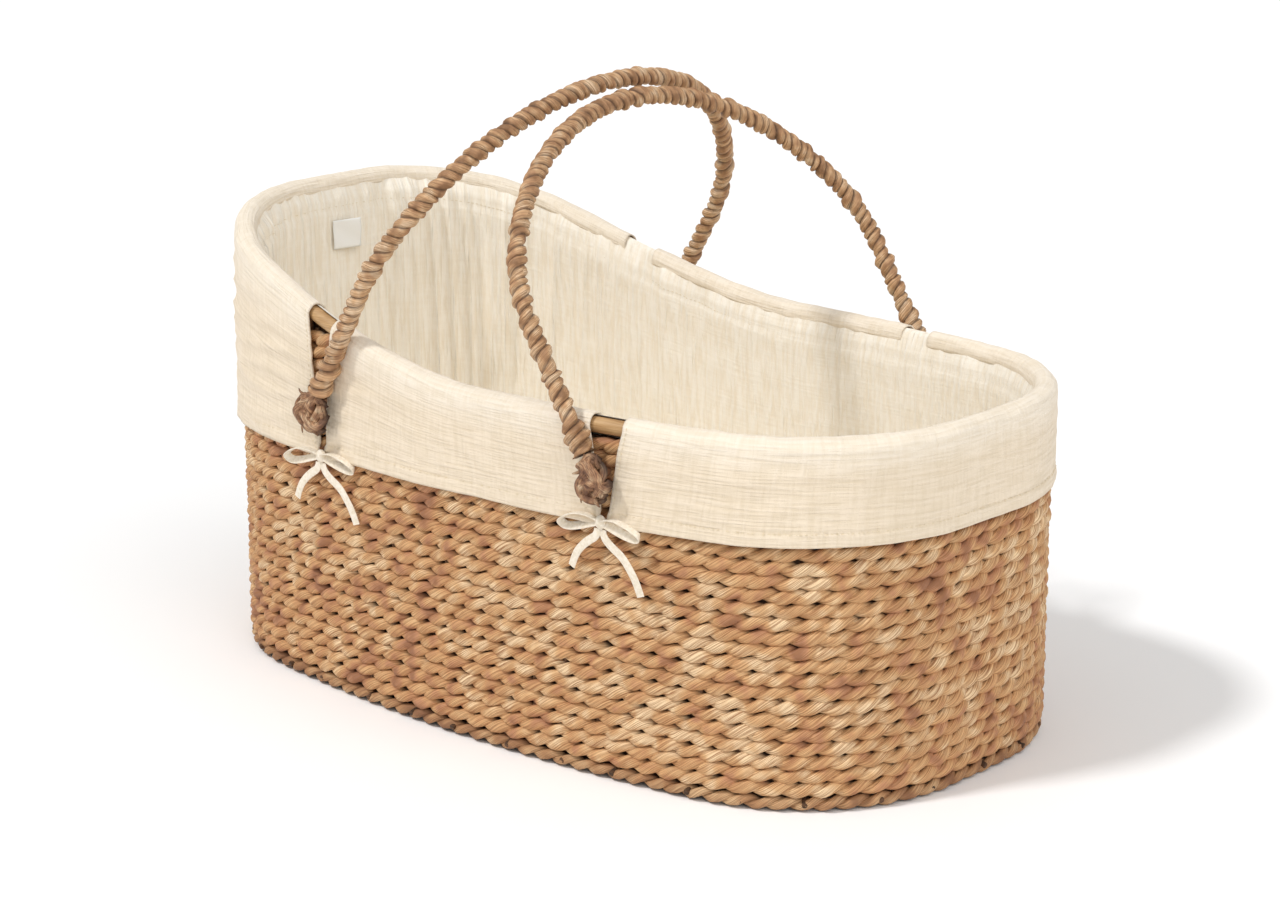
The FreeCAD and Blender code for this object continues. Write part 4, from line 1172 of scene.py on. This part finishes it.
def tape(name, points, tilts):
    """Flat tape along a smooth curve through the control points."""
    curve = bpy.data.curves.new(name, "CURVE")
    curve.dimensions = "3D"
    curve.twist_mode = "MINIMUM"
    curve.extrude = TAPE_WIDTH / 2 - TAPE_THICK / 2
    curve.bevel_depth = TAPE_THICK / 2
    curve.bevel_resolution = 1
    curve.use_fill_caps = True
    spline = curve.splines.new("NURBS")
    spline.points.add(len(points) - 1)
    for point, place, tilt in zip(spline.points, points, tilts):
        point.co = (*place, 1)
        point.tilt = tilt
    spline.order_u = 3
    spline.use_endpoint_u = True
    spline.resolution_u = 10
    return linked(name, curve)


def tie(end_name, side_name):
    """Knot, two loops and two tails of one bow."""
    name = f"tie_{end_name}_{side_name}"
    low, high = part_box(f"{name}_knot")
    middle = (Vector(low) + Vector(high)) / 2
    side = -1 if side_name == "near" else 1

    def place(along, out, up):
        return middle + Vector((along, side * out, up))

    form = bmesh.new()
    bmesh.ops.create_icosphere(form, subdivisions=3, radius=1.0)
    for point in form.verts:
        crease = 1 + 0.14 * math.cos(5 * point.co.x + 2 * point.co.z)
        point.co = middle + Vector((point.co.x * 0.0058, point.co.y * 0.0042 * crease,
                                    point.co.z * 0.0066))
    mesh = bpy.data.meshes.new(f"{name}_knot_tape")
    form.to_mesh(mesh)
    form.free()
    knot = smooth(linked(f"{name}_knot_tape", mesh))
    finish_piece(knot, "basket", tape_cotton, f"{name}_knot")
    for way in (-1, 1):
        drop = 0.004 if way < 0 else 0.001
        line = [place(way * a, o, u) for a, o, u in (
            (0.003, 0.0005, 0.002), (0.014, 0.0030, 0.0062), (0.030, 0.0050, 0.0055 - drop * 0.3),
            (0.043, 0.0040, 0.001 - drop), (0.047, 0.0010, -0.0035 - drop),
            (0.041, -0.0010, -0.0075 - drop), (0.026, -0.0012, -0.0065 - drop * 0.4),
            (0.012, -0.0008, -0.0030), (0.003, -0.0002, 0.0))]
        hand = "left" if way < 0 else "right"
        finish_piece(tape(f"{name}_loop_{hand}", line, [PI / 2] * 9),
                                  "basket", tape_cotton)
    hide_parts(f"{name}_loops")
    for label, route in (("long", LONG_TAIL), ("short", SHORT_TAIL)):
        line = [place(a / 1000, 0.0004 + o / 1000, u / 1000) for a, o, u in route]
        tail = tape(f"{name}_{label}_tail", line, [PI / 2] * len(route))
        finish_piece(tail, "basket", tape_cotton)
        if label == "long":
            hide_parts(f"{name}_tails")
        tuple(line[0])


for end_name in ("foot", "head"):
    for side_name in ("near", "far"):
        tie(end_name, side_name)

# %% [markdown]
# ## Floor, label and mattress
# The mattress is a foam pad in a plain cotton cover. A real pad is crowned, because its foam pushes
# the cover out everywhere but at the seams, so its shape is blown up a little with cloth simulation.

# %% Mattress
mat_low, mat_high = [Vector(corner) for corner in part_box("mattress_cover")]
MATTRESS_INSET = HALF_LENGTH - mat_high.x


def slab(name, inset, low, high, columns=220):
    """Closed pad with the plan outline."""
    form = bmesh.new()
    ring_points = []
    for i in range(columns):
        x, y, _, _ = plan(i / columns, inset)
        ring_points.append(form.verts.new((x, y, low)))
    base = form.faces.new(ring_points)
    top = bmesh.ops.extrude_face_region(form, geom=[base])
    moved = [v for v in top["geom"] if isinstance(v, bmesh.types.BMVert)]
    bmesh.ops.translate(form, verts=moved, vec=(0, 0, high - low))
    bmesh.ops.recalc_face_normals(form, faces=form.faces)
    mesh = bpy.data.meshes.new(name)
    form.to_mesh(mesh)
    form.free()
    return linked(name, mesh)


def puffed(obj, voxel, pressure, frames, limit):
    """Blow a closed pad up a little with cloth simulation, and keep the result."""
    remesh = obj.modifiers.new("remesh", "REMESH")
    remesh.mode = "VOXEL"
    remesh.voxel_size = voxel
    bpy.context.view_layer.update()
    graph = bpy.context.evaluated_depsgraph_get()
    start = bpy.data.meshes.new_from_object(obj.evaluated_get(graph))
    obj.modifiers.clear()
    obj.data = start
    rest = np.empty(len(start.vertices) * 3)
    start.vertices.foreach_get("co", rest)
    cloth = obj.modifiers.new("cloth", "CLOTH")
    cloth.settings.use_pressure = True
    cloth.settings.uniform_pressure_force = pressure
    cloth.settings.effector_weights.gravity = 0
    cloth.settings.quality = 4
    cloth.point_cache.frame_start = 1
    cloth.point_cache.frame_end = frames
    for number in range(1, frames + 1):
        bpy.context.scene.frame_set(number)
    graph = bpy.context.evaluated_depsgraph_get()
    blown = bpy.data.meshes.new_from_object(obj.evaluated_get(graph))
    obj.modifiers.clear()
    moved = np.empty(len(blown.vertices) * 3)
    blown.vertices.foreach_get("co", moved)
    step = (moved - rest).reshape(-1, 3)
    far = np.linalg.norm(step, axis=1)
    keep = np.minimum(1.0, limit / np.maximum(far, 1e-9))
    blown.vertices.foreach_set("co", (rest.reshape(-1, 3) + step * keep[:, None]).ravel())
    obj.data = blown
    bpy.context.scene.frame_set(1)
    return obj


PUFF = 0.005
pad = slab("mattress_pad", MATTRESS_INSET + PUFF, mat_low.z + 0.004, mat_high.z - PUFF)
puffed(pad, 0.007, 3.0, 16, PUFF)
soften = pad.modifiers.new("soften", "SMOOTH")
soften.iterations = 6
smooth(pad)
finish_piece(pad, "mattress", mattress_cotton, "mattress_cover", "mattress_core")

floor_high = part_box("liner_floor")[1]
FLOOR_INSET = HALF_LENGTH - floor_high[0]


def floor_place(a, b):
    """Point of the liner's bottom cloth: b runs from the middle to the seam round the edge."""
    x, y, _, _ = plan(a, FLOOR_INSET)
    pucker = 0.0007 * ripple(x * b * 22.0, y * b * 22.0, 41.0)
    return x * b, y * b, floor_high[2] - LINER_THICK + pucker * b


bottom = grid_piece("liner_bottom", 220, 30, floor_place, True, 2.0, 0.4)
bottom_cloth = bottom.modifiers.new("cloth", "SOLIDIFY")
bottom_cloth.thickness = LINER_THICK
finish_piece(bottom, "basket", padded_muslin, "liner_floor")

# %% [markdown]
# ## Label
# A small blank label of white satin is sewn by one edge inside the head end, and its free side
# stands a little off the cloth.

# %% Label
satin, satin_tree, satin_shader = new_material("woven satin, white", 0.38)
satin_shader.inputs["Base Color"].default_value = colour("#f7f6f2")
satin_place = add(satin_tree, "ShaderNodeTexCoord").outputs["Object"]
satin_thread = add(satin_tree, "ShaderNodeTexWave", {"Vector": satin_place, "Scale": 420.0},
                   bands_direction="Z")
satin_bump = add(satin_tree, "ShaderNodeBump",
                 {"Height": satin_thread.outputs["Fac"], "Strength": 0.15, "Distance": 0.0003})
satin_tree.links.new(satin_bump.outputs["Normal"], satin_shader.inputs["Normal"])

label_low, label_high = [Vector(corner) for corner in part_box("liner_label")]


def label_place(a, b):
    """Point of the label: a runs from the sewn edge at the near side, b runs up."""
    y = label_low.y + (label_high.y - label_low.y) * a
    z = label_low.z + (label_high.z - label_low.z) * b
    lift = 0.0030 + 0.0050 * a ** 1.5 + 0.0006 * math.sin(6 * b + 4 * a)
    return label_low.x + lift, y, z


label = grid_piece("blank_label", 16, 14, label_place, False)
backing = label.modifiers.new("cloth", "SOLIDIFY")
backing.thickness = 0.0004
finish_piece(label, "basket", satin, "liner_label")

# %% [markdown]
# ## Floor, light and camera
# The basket stands on a pale floor that runs into a pale background. Two suns light it evenly: a
# fairly sharp one from the upper left in front, and a very wide, weaker one from the foot end.

# %% Stage
bpy.data.objects.remove(strand_section)
bpy.data.objects.remove(border_section)
bpy.data.objects.remove(coil_section)

form = bmesh.new()
bmesh.ops.create_grid(form, x_segments=1, y_segments=1, size=12.0)
floor_mesh = bpy.data.meshes.new("studio_floor")
form.to_mesh(floor_mesh)
form.free()
studio_floor = linked("studio_floor", floor_mesh)
floor_finish, _, floor_shader = new_material("matte paper floor", 0.9)
floor_shader.inputs["Base Color"].default_value = colour("#fdfdfd")
studio_floor.data.materials.append(floor_finish)
studio_floor.location.z = -0.0005

world = bpy.data.worlds.new("studio")
bpy.context.scene.world = world
world.use_nodes = True
world.node_tree.nodes["Background"].inputs["Color"].default_value = colour("#ffffff")
world.node_tree.nodes["Background"].inputs["Strength"].default_value = 0.50


def sun(name, place, angle, strength):
    """Wide, soft light from one side, even over the whole floor."""
    light = bpy.data.lights.new(name, "SUN")
    light.angle = math.radians(angle)
    light.energy = strength
    obj = linked(name, light)
    obj.rotation_euler = (-Vector(place)).to_track_quat("-Z", "Y").to_euler()


sun("key_light", (-0.55, -1.25, 1.9), angle=8, strength=1.50)
sun("fill_light", (1.4, -0.45, 1.3), angle=60, strength=1.05)

# %% Camera
AZIMUTH = math.radians(41.6)
ELEVATION = math.radians(15.3)
DISTANCE = 2.50
AIM = Vector((0.279, -0.300, 0.335))
camera = bpy.data.objects.new("camera", bpy.data.cameras.new("camera"))
bpy.context.scene.collection.objects.link(camera)
back = Vector((math.sin(AZIMUTH) * math.cos(ELEVATION), -math.cos(AZIMUTH) * math.cos(ELEVATION),
               math.sin(ELEVATION)))
camera.location = AIM + back * DISTANCE
camera.rotation_mode = "QUATERNION"
camera.rotation_quaternion = (-back).to_track_quat("-Z", "Y")
camera.data.lens = 85.5
camera.data.sensor_width = 36.0
bpy.context.scene.camera = camera
bpy.context.scene.view_settings.view_transform = "Standard"
